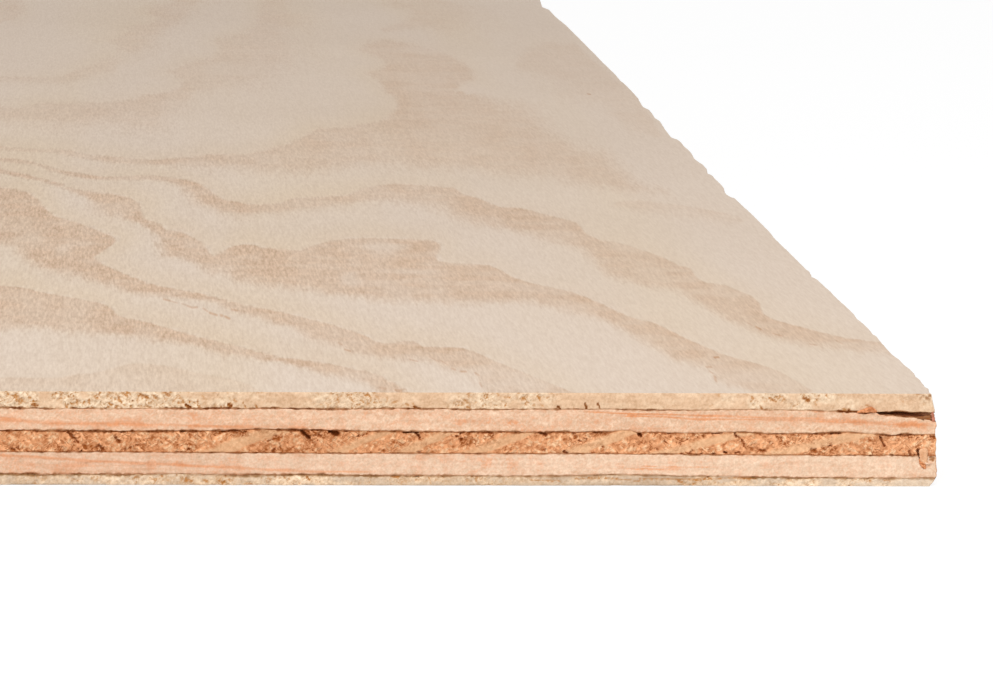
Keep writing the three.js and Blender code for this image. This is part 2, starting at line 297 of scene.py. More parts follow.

# Dark cracks and pits on the front edge, by layer, in pixels of the camera's frame: where each starts
# and ends, half its width, and how dark it is
# Their darkness is partly painted shade inside the cracks and pits
EDGE_MARKS = {
    BACK: [(307, 477, 309, 480, 1.1, 0.8), (392, 476, 398, 477, 1.4, 0.75), (390, 479, 391, 485, 0.8, 0.55),
        (429, 478, 431, 485, 0.9, 0.65), (870, 481, 872, 482, 1.3, 0.6), (884, 480, 890, 481, 1.3, 0.6),
        (150, 478, 156, 480, 1.2, 0.6), (186, 480, 192, 481, 1.3, 0.7), (203, 480, 207, 481, 1.4, 0.6),
        (530, 480, 560, 481, 0.8, 0.7), (575, 479, 600, 478, 0.8, 0.75), (605, 478, 640, 481, 0.9, 0.75),
        (640, 479, 690, 479.5, 0.9, 0.75), (678, 481, 682, 482, 1.3, 0.8), (690, 480, 735, 478, 0.9, 0.7),
        (735, 478, 756, 479, 1.2, 0.7)],
    LOWER: [(917.5, 451, 919, 458, 0.8, 0.78), (919, 458, 921.5, 464, 0.8, 0.75),
        (921, 464, 924, 469, 0.8, 0.85), (924, 469, 927, 468, 0.8, 0.7),
        (930, 457.5, 934, 458.5, 1.4, 0.85), (930.5, 460, 933.5, 460.5, 1.1, 0.85),
        (928, 466, 931, 466, 1.1, 0.6)],
    CORE: [(68, 433, 78, 442, 1.3, 0.8), (99, 446, 103, 450, 1.6, 0.8), (116, 438, 119, 442, 1.4, 0.8),
        (84, 446, 86, 449, 1.4, 0.7), (58, 448, 62, 452, 1.8, 0.5), (302, 432, 309, 438, 1.6, 1.0),
        (331, 431, 336, 434, 2.8, 1.0), (237, 431, 242, 434, 2.2, 0.7), (404, 432, 418, 432, 1.2, 1.0),
        (416, 433, 420, 438, 1.1, 0.9), (380, 450, 383, 451, 1.8, 0.6), (418, 452, 420, 453, 1.4, 0.7),
        (541, 433, 546, 435, 1.6, 0.85), (573, 433, 576, 437, 1.4, 0.75), (542, 449, 544, 450, 1.9, 0.7),
        (564, 452, 567, 453, 1.4, 0.8), (639, 434, 641, 436, 1.7, 0.95), (664, 441, 666, 443, 1.2, 0.6),
        (735, 432, 736.5, 437, 1.1, 0.85), (738, 437, 742, 440, 1.0, 0.7),
        (742, 440, 744.5, 446, 1.2, 0.78), (724, 452.5, 727, 453, 1.1, 0.9), (735, 453, 740, 453, 1.2, 0.8),
        (768, 440, 772, 443, 1.4, 0.6), (776, 436, 781, 441, 1.4, 0.6), (811, 450, 816, 450, 1.4, 0.6),
        (822, 446, 824, 450, 1.4, 0.5), (832, 433, 840, 432, 1.3, 0.9), (880, 437, 884.5, 446, 1.2, 0.85),
        (895, 434, 908, 437, 1.1, 0.6), (186, 444, 195, 446, 1.2, 0.5), (268, 441, 282, 437, 1.0, 0.6),
        (278, 440, 280, 448, 1.3, 0.6), (917.5, 449.5, 917.5, 455, 0.7, 0.65),
        (931, 455, 934, 457, 1.8, 0.55)],
    UPPER: [(497, 420, 499, 424, 0.7, 0.35)],
    FACE: [(15, 398, 20, 403, 1.4, 0.7), (33, 405, 37, 406, 1.7, 0.85), (92, 395, 97, 398, 1.4, 0.5),
        (118, 397, 121, 403, 1.1, 0.8), (121, 403, 128, 407, 0.7, 0.6), (140, 394, 148, 398, 1.5, 0.8),
        (153, 395, 156, 398, 1.4, 0.7), (166, 393, 169, 396, 1.6, 0.8), (186, 405, 190, 407, 1.5, 0.95),
        (203, 396, 206, 399, 1.4, 0.6), (228, 404, 231, 406, 1.4, 0.9), (234, 400, 237, 402, 1.1, 0.6),
        (243, 403, 246, 408, 0.9, 0.8), (255, 404, 257, 408, 0.9, 0.8), (350, 397, 353, 402, 1.1, 0.7),
        (360, 400, 363, 402, 1.1, 0.7), (369, 395, 371, 400, 1.2, 0.7), (376, 396, 379, 399, 1.1, 0.5),
        (387, 398, 388, 401, 1.1, 0.6), (392, 403, 398, 401, 0.9, 0.6), (406, 404, 408, 405, 1.2, 0.7),
        (411, 402, 416, 407, 0.8, 0.6), (414, 407, 420, 409, 1.2, 0.9), (497, 394, 499, 396, 1.3, 0.6),
        (505, 397, 510, 398, 1.5, 0.7), (538, 397, 540, 401, 1.2, 0.72), (540, 404, 543, 406, 1.1, 0.5),
        (558, 407, 560, 409, 1.1, 0.95), (573, 405, 574, 408, 0.8, 0.7), (585, 404, 587, 409, 1.0, 0.95),
        (598, 404, 600, 409, 1.0, 0.95), (752, 397, 753, 399, 1.4, 0.7), (772, 400, 776, 401, 1.6, 0.8),
        (780, 396, 784, 399, 1.1, 0.5), (760, 405, 762, 409, 1.0, 0.8), (793, 406, 797, 405, 1.1, 0.6),
        (804, 398, 809, 401, 1.6, 0.85), (814, 402, 816, 404, 1.4, 0.6), (812, 394, 817, 400, 0.7, 0.5),
        (716, 394, 719, 396, 1.4, 0.5), (842, 409, 850, 410, 1.3, 0.6), (838, 411, 846, 411, 1.0, 0.8),
        (848, 411, 858, 412, 1.1, 0.95), (866, 405, 870, 407, 0.8, 0.7)],
}

# Loose fibres on the front edge: colour, how torn, thickness, and a spine of distance from the corner,
# how far its middle stands out, height and half width
SLIVERS = {
    "loose_splinter": ("splinter", 0.3, 0.3, [
        (2.86, -0.2, 7.6, 0.6), (2.82, -0.02, 7.25, 0.84), (2.78, 0.0, 6.3, 0.82), (2.72, 0.0, 5.6, 0.78),
        (2.55, 0.0, 5.1, 0.7), (2.3, -0.02, 4.7, 0.6), (2.1, -0.2, 4.25, 0.3)]),
    "splinter_foot": ("torn_orange", 0.8, 0.34, [
        (3.6, -0.3, 5.5, 0.1), (3.35, -0.1, 5.05, 0.26), (3.1, 0.02, 4.65, 0.36), (2.8, 0.05, 4.25, 0.4),
        (2.5, 0.0, 3.85, 0.34), (2.25, -0.15, 3.5, 0.12)]),
    "split_sliver": ("pale_fibre", 0.3, 0.24, [
        (2.7, -0.1, 4.75, 0.08), (2.3, 0.04, 4.62, 0.2), (1.9, 0.02, 4.55, 0.17), (1.4, 0.0, 4.6, 0.15),
        (0.95, -0.15, 4.7, 0.08)]),
    "corner_fibre": ("torn_red", 0.6, 0.4, [
        (1.24, -0.35, 14.9, 0.16), (1.18, -0.25, 14.5, 0.27), (1.08, -0.2, 14.0, 0.34),
        (1.0, -0.2, 13.5, 0.34), (0.93, -0.25, 13.0, 0.3), (0.88, -0.35, 12.6, 0.22)]),
    "torn_tuft": ("torn_orange", 0.8, 0.4, [
        (16.1, -0.15, 14.65, 0.1), (15.0, 0.0, 14.85, 0.3), (14.0, 0.05, 15.1, 0.46),
        (13.3, 0.1, 15.2, 0.5), (12.7, 0.05, 14.95, 0.4), (12.1, -0.1, 14.7, 0.16)]),
    "void_fibre": ("torn_brown", 0.8, 0.4, [
        (6.6, -0.5, 13.75, 0.06), (5.0, -0.35, 13.55, 0.24), (3.0, -0.3, 13.4, 0.4),
        (2.0, -0.35, 13.45, 0.62), (1.3, -0.5, 13.5, 0.5)]),
}

# ---- settings

def length(name, description, value):
    """A size in metres, given here in millimetres."""
    return FloatProperty(name=name, description=description, default=value * MM, min=0.0, unit="LENGTH",
                         precision=5)


def colour(name, description, red, green, blue):
    """A colour, given as screen values from 0 to 255 and kept linear."""
    screen = np.array([red, green, blue]) / 255
    linear = np.where(screen > 0.04045, ((screen + 0.055) / 1.055) ** 2.4, screen / 12.92)
    return FloatVectorProperty(name=name, description=description, subtype="COLOR", size=3,
                               min=0.0, max=1.0, default=[float(value) for value in linear])


class PlywoodEdge(bpy.types.PropertyGroup):
    """Sizes of the sawn edges."""

    arris_wear: length("Arris wear", "How far the face's right-hand arris is worn back", 0.6)
    arris_round: length("Arris radius", "Rounding of the outer arrises", 0.16)
    groove_depth: length("Glue line depth", "How far the glue lines lie back", 0.16)
    groove_width: length("Glue line width", "Half width of a glue line's groove", 0.11)
    core_tear: length("Core tear", "Depth of the torn earlywood in the core", 1.0)
    face_tear: length("Face tear", "Depth of the torn end grain in the outer veneers", 0.8)
    gap_depth: length("Gap depth", "How deep the gaps over the core reach", 0.9)
    corner_round: length("Corner radius", "Wear of the sheet's upright corners", 0.15)


class PlywoodDamage(bpy.types.PropertyGroup):
    """Sizes of the damage at the front right corner."""

    open_length: length("Open length", "Length of the open glue line along the front edge", 12.4)
    open_height: length("Open height", "Height of the open glue line at the corner", 1.65)
    open_depth: length("Open depth", "How far the open glue line reaches in", 7.0)
    broken_width: length("Break width", "Width of the broken lower corner", 1.45)
    broken_height: length("Break height", "Height of the broken lower corner", 2.6)
    broken_length: length("Break length", "Length of the broken lower corner", 9.0)
    torn_inset: length("Splinter place", "Distance of the torn splinter from the corner", 2.35)
    torn_width: length("Splinter width", "Width of the torn splinter's bed", 1.9)
    torn_above: length("Splinter top", "Height of the bed above the glue line under the core", 0.9)
    torn_below: length("Splinter foot", "Depth of the bed below the glue line under the core", 2.3)
    torn_depth: length("Splinter depth", "How deep the bed is", 0.9)


class PlywoodColours(bpy.types.PropertyGroup):
    """Colours of the wood and glue."""

    face_early: colour("Face earlywood", "Sanded face between the rings", 226, 206, 187)
    face_late: colour("Face latewood", "Sanded face in the rings", 212, 180, 151)
    face_end_torn: colour("Face end, torn", "Torn end grain of the face veneer", 234, 206, 174)
    face_end_smooth: colour("Face end, smooth", "Smooth end grain of the face veneer", 224, 187, 152)
    cross_early: colour("Crossband earlywood", "Sawn long grain of the upper crossband", 230, 195, 165)
    lower_early: colour("Lower crossband earlywood", "Sawn long grain of the lower crossband", 229, 198, 171)
    cross_late: colour("Crossband latewood", "Darker lines in the crossbands", 220, 147, 100)
    core_torn: colour("Core, torn", "Torn earlywood of the core", 225, 159, 112)
    core_smooth: colour("Core, smooth", "Smooth latewood of the core", 222, 175, 133)
    back_early: colour("Back earlywood", "Unsanded back between the rings", 219, 190, 160)
    back_late: colour("Back latewood", "Unsanded back in the rings", 200, 158, 116)
    back_end: colour("Back end, smooth", "Smooth end grain of the back veneer", 214, 191, 166)
    # The two pit colours are partly painted shade: they darken the hollows, cracks and pits of the torn end
    # grain
    pale_pit: colour("Pits, pale wood", "Bottoms of the pits in pale end grain", 183, 117, 42)
    dark_pit: colour("Pits, dark wood", "Bottoms of the pits in the core", 144, 70, 10)
    glue: colour("Glue", "The glue lines", 98, 44, 6)
    back_glue: colour("Glue by the back", "The olive side of the lowest glue line", 124, 92, 50)
    splinter: colour("Splinter", "Fresh wood of the loose splinter", 229, 180, 141)
    pale_fibre: colour("Pale fibres", "The pale sliver beside the splinter", 238, 203, 176)
    torn_orange: colour("Orange fibres", "Torn fibres of the upper crossband", 226, 152, 104)
    torn_red: colour("Red fibres", "Torn fibres across the end of the open glue line", 194, 126, 102)
    torn_brown: colour("Brown fibres", "Torn fibres at the mouth of the open glue line", 146, 96, 60)


class PlywoodStage(bpy.types.PropertyGroup):
    """The camera, the floor and the lamps."""

    camera_inset: length("Camera inset", "Camera's distance in from the right-hand edge", 166.8)
    camera_distance: length("Camera distance", "Camera's distance in front of the front edge", 1055.8)
    camera_height: length("Camera height", "Camera's height over the face", 161.2)
    camera_pan: FloatProperty(name="Pan", description="Turn of the camera to the right, in degrees",
                              default=4.333)
    camera_tilt: FloatProperty(name="Tilt", description="Tilt of the camera, in degrees", default=-8.159)
    camera_roll: FloatProperty(name="Roll", description="Roll of the camera, in degrees", default=0.806)
    camera_lens: FloatProperty(name="Lens", description="Focal length in millimetres", default=200.0)
    sky: FloatProperty(name="Sky", description="Strength of the even light", default=0.49, min=0.0)
    key: FloatProperty(name="Key", description="Power of the key lamp in watts", default=27.3, min=0.0)


# ---- noise and arithmetic

# Numbers that stir a lattice point's column, row and seed, and the bits that are kept
STIR_COLUMN, STIR_ROW, STIR_SEED = 374761393, 668265263, 974634777
STIR_FIRST, STIR_AGAIN = 1274126177, 2246822519
KEPT_BITS = 0xFFFFFFFF
# How far each end of a stretch fades, to either side
STRETCH_FADE = 3
# Places at which a spacing is summed
FINE_PLACES = 8001


def lattice(column, row, seed):
    """A fixed pseudo-random number from 0 to 1 for each lattice point, from mixed integer products."""
    number = column.astype(np.int64) * STIR_COLUMN + row.astype(np.int64) * STIR_ROW + seed * STIR_SEED
    number = (number & KEPT_BITS).astype(np.uint64)
    number = ((number ^ (number >> 13)) * STIR_FIRST) & KEPT_BITS
    number = ((number ^ (number >> 15)) * STIR_AGAIN) & KEPT_BITS
    return (number ^ (number >> 16)) / 2.0**32


def noise(across, along, seed):
    """Smooth noise from -1 to 1: lattice values blended with a quintic fade."""
    across, along = np.broadcast_arrays(across, along)
    column, row = np.floor(across), np.floor(along)
    x, y = across - column, along - row
    x, y = x**3 * (x * (6 * x - 15) + 10), y**3 * (y * (6 * y - 15) + 10)
    low = lattice(column, row, seed) * (1 - x) + lattice(column + 1, row, seed) * x
    high = lattice(column, row + 1, seed) * (1 - x) + lattice(column + 1, row + 1, seed) * x
    return 2 * (low * (1 - y) + high * y) - 1


def rough(across, along, seed, octaves=3):
    """Noise summed over octaves, each half as large and half as strong as the one before."""
    total = sum(noise(across * 2**n, along * 2**n, seed + n) / 2**n for n in range(octaves))
    return total / (2 - 2 ** (1 - octaves))


def fade(value, low, high):
    """A smooth step from 0 at low to 1 at high."""
    t = np.clip((value - low) / (high - low), 0, 1)
    return t * t * (3 - 2 * t)


def table(value, pairs):
    """A value read from a list of (place, value) pairs, with straight lines between them."""
    places, values = zip(*pairs)
    return np.interp(value, places, values)


def stretches(along, parts):
    """The sum of some stretches: each adds its own value, and fades in and out at its ends."""
    total = np.zeros_like(along)
    for start, end, value in parts:
        started = fade(along, start - STRETCH_FADE, start + STRETCH_FADE)
        ended = fade(along, end - STRETCH_FADE, end + STRETCH_FADE)
        total = total + value * (started - ended)
    return total


def graded(span, spacing):
    """Places from 0 to span whose steps follow spacing(place): equal shares of the integral of 1/spacing."""
    fine = np.linspace(0, span, FINE_PLACES)
    density = 1 / spacing(fine)
    count = np.concatenate([[0], np.cumsum((density[1:] + density[:-1]) / 2 * np.diff(fine))])
    return np.interp(np.linspace(0, count[-1], int(np.ceil(count[-1])) + 1), count, fine)


# ---- the camera's view of the sheet

def camera_axes(stage):
    """The camera's right, up and forward directions: turned right, tilted up and rolled from +Y."""
    pan, tilt, roll = np.radians([stage.camera_pan, stage.camera_tilt, stage.camera_roll])
    forward = np.array([np.sin(pan) * np.cos(tilt), np.cos(pan) * np.cos(tilt), np.sin(tilt)])
    level = np.array([np.cos(pan), -np.sin(pan), 0])
    upright = np.cross(level, forward)
    return (level * np.cos(roll) + upright * np.sin(roll),
            upright * np.cos(roll) - level * np.sin(roll), forward)


def camera_place(stage):
    """The camera's place in millimetres, from the sheet's front right corner."""
    return np.array([RIGHT - stage.camera_inset / MM, FRONT - stage.camera_distance / MM,
                     TOP + stage.camera_height / MM])


def camera_rays(pixels, stage):
    """The directions of the camera's rays through some pixels of its frame."""
    right, up, forward = camera_axes(stage)
    focal = stage.camera_lens / SENSOR_WIDTH * VIEW_WIDTH
    pixels = np.array(pixels, float)
    return ((pixels[:, :1] - VIEW_WIDTH / 2) * right + (VIEW_HEIGHT / 2 - pixels[:, 1:]) * up
            + focal * forward)


def on_face(pixels, stage):
    """Where the camera's rays through some pixels meet the plane of the face, as X and Y."""
    place, rays = camera_place(stage), camera_rays(pixels, stage)
    return (place + rays * ((TOP - place[2]) / rays[:, 2:]))[:, :2]


def on_front(pixels, stage):
    """Where the camera's rays through some pixels meet the front edge: distance from the corner, height."""
    place, rays = camera_place(stage), camera_rays(pixels, stage)
    met = place + rays * ((FRONT - place[1]) / rays[:, 1:2])
    return np.stack([RIGHT - met[:, 0], met[:, 2]], axis=1)


# ---- growth rings

# Distances along the grain count for less, because the figure is drawn out along it
GRAIN_STRETCH = 5.0
FLECK_STRETCH = 7.0
# How wide a ring's two sides fade, and the most of the ring's width that each takes up
SHARP_EDGE, SHARP_SHARE = 0.28, 0.2
SOFT_EDGE, SOFT_SHARE = 1.7, 0.35
# How far away the rings' edges have faded to twice as wide
FADING = 300.0
# How far the yellow tint reaches from a ring's sharp side
TINT_REACH = 9.0
# The furthest that a level goes from a ring's side, in edge widths
DEEPEST = 8.0
# A pale eye is full inside the first share of its half-size, and gone outside the second
EYE_FULL, EYE_GONE = 0.6, 1.25
# How strong the rings are that grow from noise
GROWN_STRENGTH = 0.9
# The share of a year at which grown latewood starts, and the shares over which its two sides fade
LATE_START, LATE_SHARP, LATE_SOFT = 0.62, 0.012, 0.05
# Seeds of the grown figure on the face, and on the hidden faces
FACE_SEED, HIDDEN_SEED = 40, 90
# Where the drawn figure gives way to the grown one: from the right edge, and from the front one
DRAWN_ACROSS, DRAWN_ALONG = (205, 300), (960, 1250)


def nearest(points, path):
    """Distance from each point to a path of straight stretches, with Y shortened by the grain stretch."""
    scale = np.array([1, 1 / GRAIN_STRETCH])
    starts, ends = path[:-1] * scale, path[1:] * scale
    least = np.full(len(points), 1e9)
    for start, end in zip(starts, ends):
        run = end - start
        from_start = points * scale - start
        share = np.clip(from_start @ run / (run @ run), 0, 1)
        least = np.minimum(least, np.hypot(*(from_start - share[:, None] * run).T))
    return least


def inside(points, outline):
    """Which points lie inside a closed outline: an odd number of its sides pass to their right."""
    odd = np.zeros(len(points), bool)
    for (x0, y0), (x1, y1) in zip(outline, np.roll(outline, -1, axis=0)):
        spans = (y0 > points[:, 1]) != (y1 > points[:, 1])
        rise = (y1 - y0) if y1 != y0 else 1e-9
        odd ^= spans & (points[:, 0] < x0 + (points[:, 1] - y0) / rise * (x1 - x0))
    return odd


def pale_eyes(strength, points, stage):
    """The rings' strength, made weaker inside each pale eye."""
    for (x, y), (half_x, half_y), amount in PALE_EYES:
        middle, side, far = on_face([(x, y), (x + half_x, y), (x, y - half_y)], stage)
        size = np.array([np.hypot(*(side - middle)), np.hypot(*(far - middle))])
        away = np.hypot(*((points - middle) / size).T)
        strength = strength * (1 - amount * (1 - fade(away, EYE_FULL, EYE_GONE)))
    return strength


def figure_near(x, y, stage):
    """Latewood by its drawn outlines: signed distance into a ring in edge widths, and its strength.

    The third result is the yellow tint of the wood just outside a ring's sharp side. A ring is
    strongest by its sharp side, and the rings are weaker and less yellow by the right-hand edge.
    """
    points = np.stack([x.ravel(), y.ravel()], axis=1)
    level = np.full(len(points), -DEEPEST)
    strength, tint = np.ones(len(points)), np.zeros(len(points))
    faded = 1 + ((points[:, 1] - FRONT) / FADING) ** 2
    for deep, yellow, sharp, soft in FIGURE:
        sharp, soft = on_face(sharp, stage), on_face(soft, stage)
        to_sharp, to_soft = nearest(points, sharp), nearest(points, soft)
        within = inside(points, np.concatenate([sharp, soft[::-1]]))
        beside = deep * (1 - fade(to_sharp, 0, TINT_REACH)) * fade(to_soft - to_sharp, 0, 1.5)
        tint = np.maximum(tint, np.where(within, yellow, beside))
        width = to_sharp + to_soft + 0.01
        across = to_sharp / width
        to_sharp = to_sharp / np.minimum(SHARP_EDGE * faded, SHARP_SHARE * width)
        to_soft = to_soft / np.minimum(SOFT_EDGE * faded, SOFT_SHARE * width)
        depth = np.minimum(to_sharp, to_soft) * np.where(within, 1, -1)
        better = depth > level
        level = np.where(better, depth, level)
        strength = np.where(better, deep * (1.04 - 0.2 * across), strength)
    inwards = RIGHT - points[:, 0]
    strength = pale_eyes(strength, points, stage) * (0.86 + 0.14 * fade(inwards, 100, 160))
    tint = tint * (0.4 + 0.6 * fade(inwards, 45, 110))
    level = np.clip(level, -DEEPEST, DEEPEST)
    return [values.reshape(x.shape) for values in (level, strength, tint)]


def figure_far(x, y, seed):
    """Latewood of a peeled log: a slow field counts the years, and the end of each year is latewood."""
    years = (1.4 * rough(x / 190, y / 700, seed, 3) + 0.7 * rough(x / 70, y / 330, seed + 5, 3)
             + 0.12 * noise(x / 9, y / 60, seed + 9) + x / 160)
    part = years - np.floor(years)
    late = np.minimum((1 - part) / LATE_SHARP, (part - LATE_START) / LATE_SOFT)
    early = -np.minimum(part / LATE_SHARP, (LATE_START - part) / LATE_SOFT)
    return np.clip(np.where(part > LATE_START, late, early), -DEEPEST, DEEPEST)


def face_figure(x, y, stage):
    """The face's figure: drawn near the front right corner, and grown from noise further away.

    Tone darkens the wood a little away from the front edge: painted shade of the far face. Fibre is how clear
    its fibres are.
    """
    level, strength, tint = figure_near(x, y, stage)
    inwards, back = RIGHT - x, y - FRONT
    far = np.maximum(fade(inwards, *DRAWN_ACROSS), fade(back, *DRAWN_ALONG))
    return {
        "level": level * (1 - far) + figure_far(x, y, FACE_SEED) * far,
        "strength": strength * (1 - far) + GROWN_STRENGTH * far,
        "tint": tint * (1 - far),
        # Painted shade: the face darkens away from the front edge
        "tone": -0.13 * fade(back, 60, 500),
        "fibre": (0.8 + 0.5 * fade(inwards, 20, 170)) * (1 - 0.3 * fade(back, 300, 650)),
    }


# ---- glue lines and damage

# Ripples of the glue lines: how high and how long each set is, and its seed
RIPPLES = [(0.03, 23, 60), (0.07, 4.7, 70), (0.06, 1.5, 75), (0.03, 0.5, 78)]
# The level across the rings where a point is well outside them all
NO_RING = -4.0
# The even, rough wear of the right-hand arris takes over where its outline runs out of view
ARRIS_DRAWN = (1040, 1120)


def glue_level(index, x, y):
    """Height of a level between veneers: it sags a little towards the front right corner and ripples."""
    height = LEVELS[index] + 0 * x
    if index in (0, len(LEVELS) - 1):
        return height
    sag = table(np.hypot(RIGHT - x, y - FRONT), LINE_SAG[index - 1])
    return height - sag + sum(high * noise(x / long, y / long, seed + index) for high, long, seed in RIPPLES)


def open_wedge(x, y, damage):
    """Height of the open glue line: widest at the corner, and closing along the front edge and inwards."""
    length_mm, depth, height = (size / MM for size in (damage.open_length, damage.open_depth,
                                                       damage.open_height))
    along = np.clip(1 - (RIGHT - x) / length_mm, 0, 1)
    along = (0.3 + 0.7 * along**1.8) * fade(along, 0, 0.08)
    inward = 1 - fade(y - FRONT, depth * 0.6, depth)
    ragged = 1 + 0.12 * noise(x / 1.3, y / 1.3, 81)
    return height * along * inward * ragged


def surface_level(layer, above, x, y, damage):
    """Height of a veneer's top or underside. The open glue line lowers the upper crossband's top."""
    level = glue_level(layer + above, x, y)
    return level - open_wedge(x, y, damage) if (layer, above) == (UPPER, True) else level


def lean(height, edges):
    """How far the right-hand edge leans in: steadily up to the face veneer, then its worn arris."""
    rise = np.clip((height - LEVELS[BACK + 1]) / (LEVELS[FACE] - LEVELS[BACK + 1]), 0, 1)
    wear = np.clip((height - LEVELS[FACE]) / (TOP - LEVELS[FACE]), 0, 1)
    return SAW_LEAN * rise + edges.arris_wear / MM * wear


def worn_arris(along, height, edges, stage):
    """How much further in than its lean the right-hand edge is worn, by its outline seen on the face."""
    outline = on_face(ARRIS_OUTLINE, stage)[::-1]
    place, inset = outline[:, 1] - FRONT, RIGHT - outline[:, 0]
    seen = np.interp(along, place, inset) - SAW_LEAN - edges.arris_wear / MM
    hidden = (0.25 * rough(along / 25, 0 * along, 91)
              + 0.35 * fade(noise(along / 40, 0 * along, 92), 0.2, 0.5))
    beyond = fade(along, *ARRIS_DRAWN)
    depth = seen * (1 - beyond) + hidden * beyond + 0.05 * noise(along / 2.3, 0 * along, 93)
    return np.maximum(depth * fade(height, LEVELS[FACE] - 1.5, TOP - 0.4), -lean(height, edges))


def splinter_bed(along, height, damage):
    """The torn splinter's bed, from 0 to 1: a groove across the glue line, narrower towards its foot."""
    right, wide = damage.torn_inset / MM, damage.torn_width / MM
    low, high = LEVELS[CORE] - damage.torn_below / MM, LEVELS[CORE] + damage.torn_above / MM
    left = right + wide - 1.5 * np.clip((high - height) / (high - low), 0, 1) ** 1.5
    sideways = fade(along, right, right + 0.25) * (1 - fade(along, left - 0.25, left))
    return sideways * (fade(height, low, low + 0.4) * (1 - fade(height, high - 0.3, high)))


def right_edge(layer, along, height, inset, scene):
    """The right-hand edge's inset with its lean, ragged corner, worn arris and broken lower corner."""
    edges, damage = scene.plywood_edge, scene.plywood_damage
    near = 1 - fade(along, 3, 9)
    ragged = 0.14 * noise(along / 1.2, height / 0.55, 184) * near
    bumps = 0.12 * noise(0 * along, height / 0.8, 186) * (1 - fade(along, 5, 12))
    inset = inset + lean(height, edges) + (ragged + bumps - 0.08 * near) * (layer < FACE)
    if layer >= UPPER:
        inset = inset + worn_arris(along, height, edges, scene.plywood_stage)
    broken = 1 - height / (damage.broken_height / MM) - along / (damage.broken_length / MM)
    broken = np.clip(broken, 0, 1) ** 1.5 - 0.2 * (broken < 0)
    return np.maximum(inset, damage.broken_width / MM * broken + 0.1 * noise(along, height, 182))


# ---- the grain of the sawn edges

# How far from the corner the front edge is in view, and where what grows from noise has taken over
IN_VIEW, OUT_OF_VIEW = 184, 210
# A pixel of the camera's frame, on the front edge, that gives the edge's scale
EDGE_PIXEL = (500, 440)
# How much smoother the latewood is cut than the torn earlywood
SMOOTHER = 0.68


def latewood_bands(layer, along, height, rings):
    """Slanting bands in a layer's end grain, from 0 to 1 by their level: crisp below, fading above."""
    middle = (LEVELS[layer] + LEVELS[layer + 1]) / 2
    wobble = 0.18 * noise(along / 2.4, height / 1.1, 33) + 0.1 * noise(along / 0.7, height / 0.4, 34)
    level = np.full(np.shape(along + height), NO_RING)
    for place, slope, half in rings:
        up = height - middle - (place - along) * slope + wobble
        level = np.maximum(level, np.minimum((up + half) / 0.12, (half - up) / 0.4))
    return fade(level, -1.8, 1.8)


def more_rings(start, end, seed):
    """Further slanting rings from one place to another, at uneven steps."""
    chance = np.random.default_rng(seed)
    places = start + np.cumsum(chance.uniform(12, 26, int((end - start) / 12)))
    rings = zip(places, chance.uniform(0.2, 0.45, len(places)), chance.uniform(0.7, 1.2, len(places)))
    return [ring for ring in rings if ring[0] < end]


def streak(along, height, streaks):
    """Latewood lines in long grain: each follows its path and fades out across its width."""
    total = np.zeros(np.shape(along + height))
    for path, width, depth in streaks:
        start, end = path[0][0], path[-1][0]
        ends = fade(along, start - 6, start + 2) * (1 - fade(along, end - 2, end + 6))
        away = (height - table(along, path)) / width
        total = np.maximum(total, depth * ends * np.exp(-away**2))
    return total


def is_end_grain(layer, edge):
    """Whether a veneer shows its end grain: crossbands do on the long edges, the others on the short."""
    return (layer in (LOWER, UPPER)) != (edge in (FRONT_EDGE, REAR_EDGE))


def strokes(along, height, size, aspect, tilt, seed):
    """Noise drawn out into short strokes at a tilt, curling where it is warped."""
    turn = np.radians(tilt)
    run = along * np.cos(turn) - height * np.sin(turn)
    rise = along * np.sin(turn) + height * np.cos(turn)
    run = run + 0.8 * size * noise(along / (2.6 * size), height / (2.6 * size), seed)
    rise = rise + 0.8 * size * noise(along / (2.2 * size), height / (2.2 * size), seed + 1)
    return noise(run / (aspect * size), rise / size, seed + 2)


def torn_grain(along, height, size, aspect, tilt, seed):
    """Torn fibres standing up and hollows between them, from about -2 to 2: three sets of strokes."""
    return (strokes(along, height, size, aspect, tilt, seed)
            + 0.8 * strokes(along, height, 0.75 * size, aspect, tilt - 65, seed + 5)
            + 0.8 * strokes(along, height, 0.42 * size, 0.9 * aspect, tilt + 35, seed + 10)) / 1.1


def edge_marks(layer, along, height, stage):
    """Mask of a layer's cracks and pits: each fades out across the line from its start to its end."""
    total = np.zeros(np.shape(along + height))
    marks = np.array(EDGE_MARKS[layer], float)
    starts, ends = on_front(marks[:, :2], stage), on_front(marks[:, 2:4], stage)
    x, y = EDGE_PIXEL
    pixel = abs(np.diff(on_front([(x, y), (x + 1, y)], stage)[:, 0])[0])
    ragged = 0.12 * noise(along / 0.4, height / 0.4, 190 + layer)
    for start, end, (half, dark) in zip(starts, ends, marks[:, 4:]):
        run = end - start
        share = np.clip(((along - start[0]) * run[0] + (height - start[1]) * run[1]) / (run @ run), 0, 1)
        away = np.hypot(along - start[0] - share * run[0], height - start[1] - share * run[1])
        total = np.maximum(total, dark * fade(half * pixel + 0.1 - away + ragged, 0, 0.2))
    return total


def edge_light(layer, edge, along):
    """How much paler or browner a veneer is along the front edge, and 0 on the other edges."""
    return stretches(along, EDGE_LIGHT[layer]) if edge == FRONT_EDGE else np.zeros_like(along)


def smooth_wood_and_highlight(band, grain):
    """Level of the smooth wood's colour in the latewood bands, and a painted highlight where fibres stand up
    between them.
    """
    return -1 + 2 * np.maximum(0.75 * band, 0.9 * fade(grain, 0.1, 1.0))


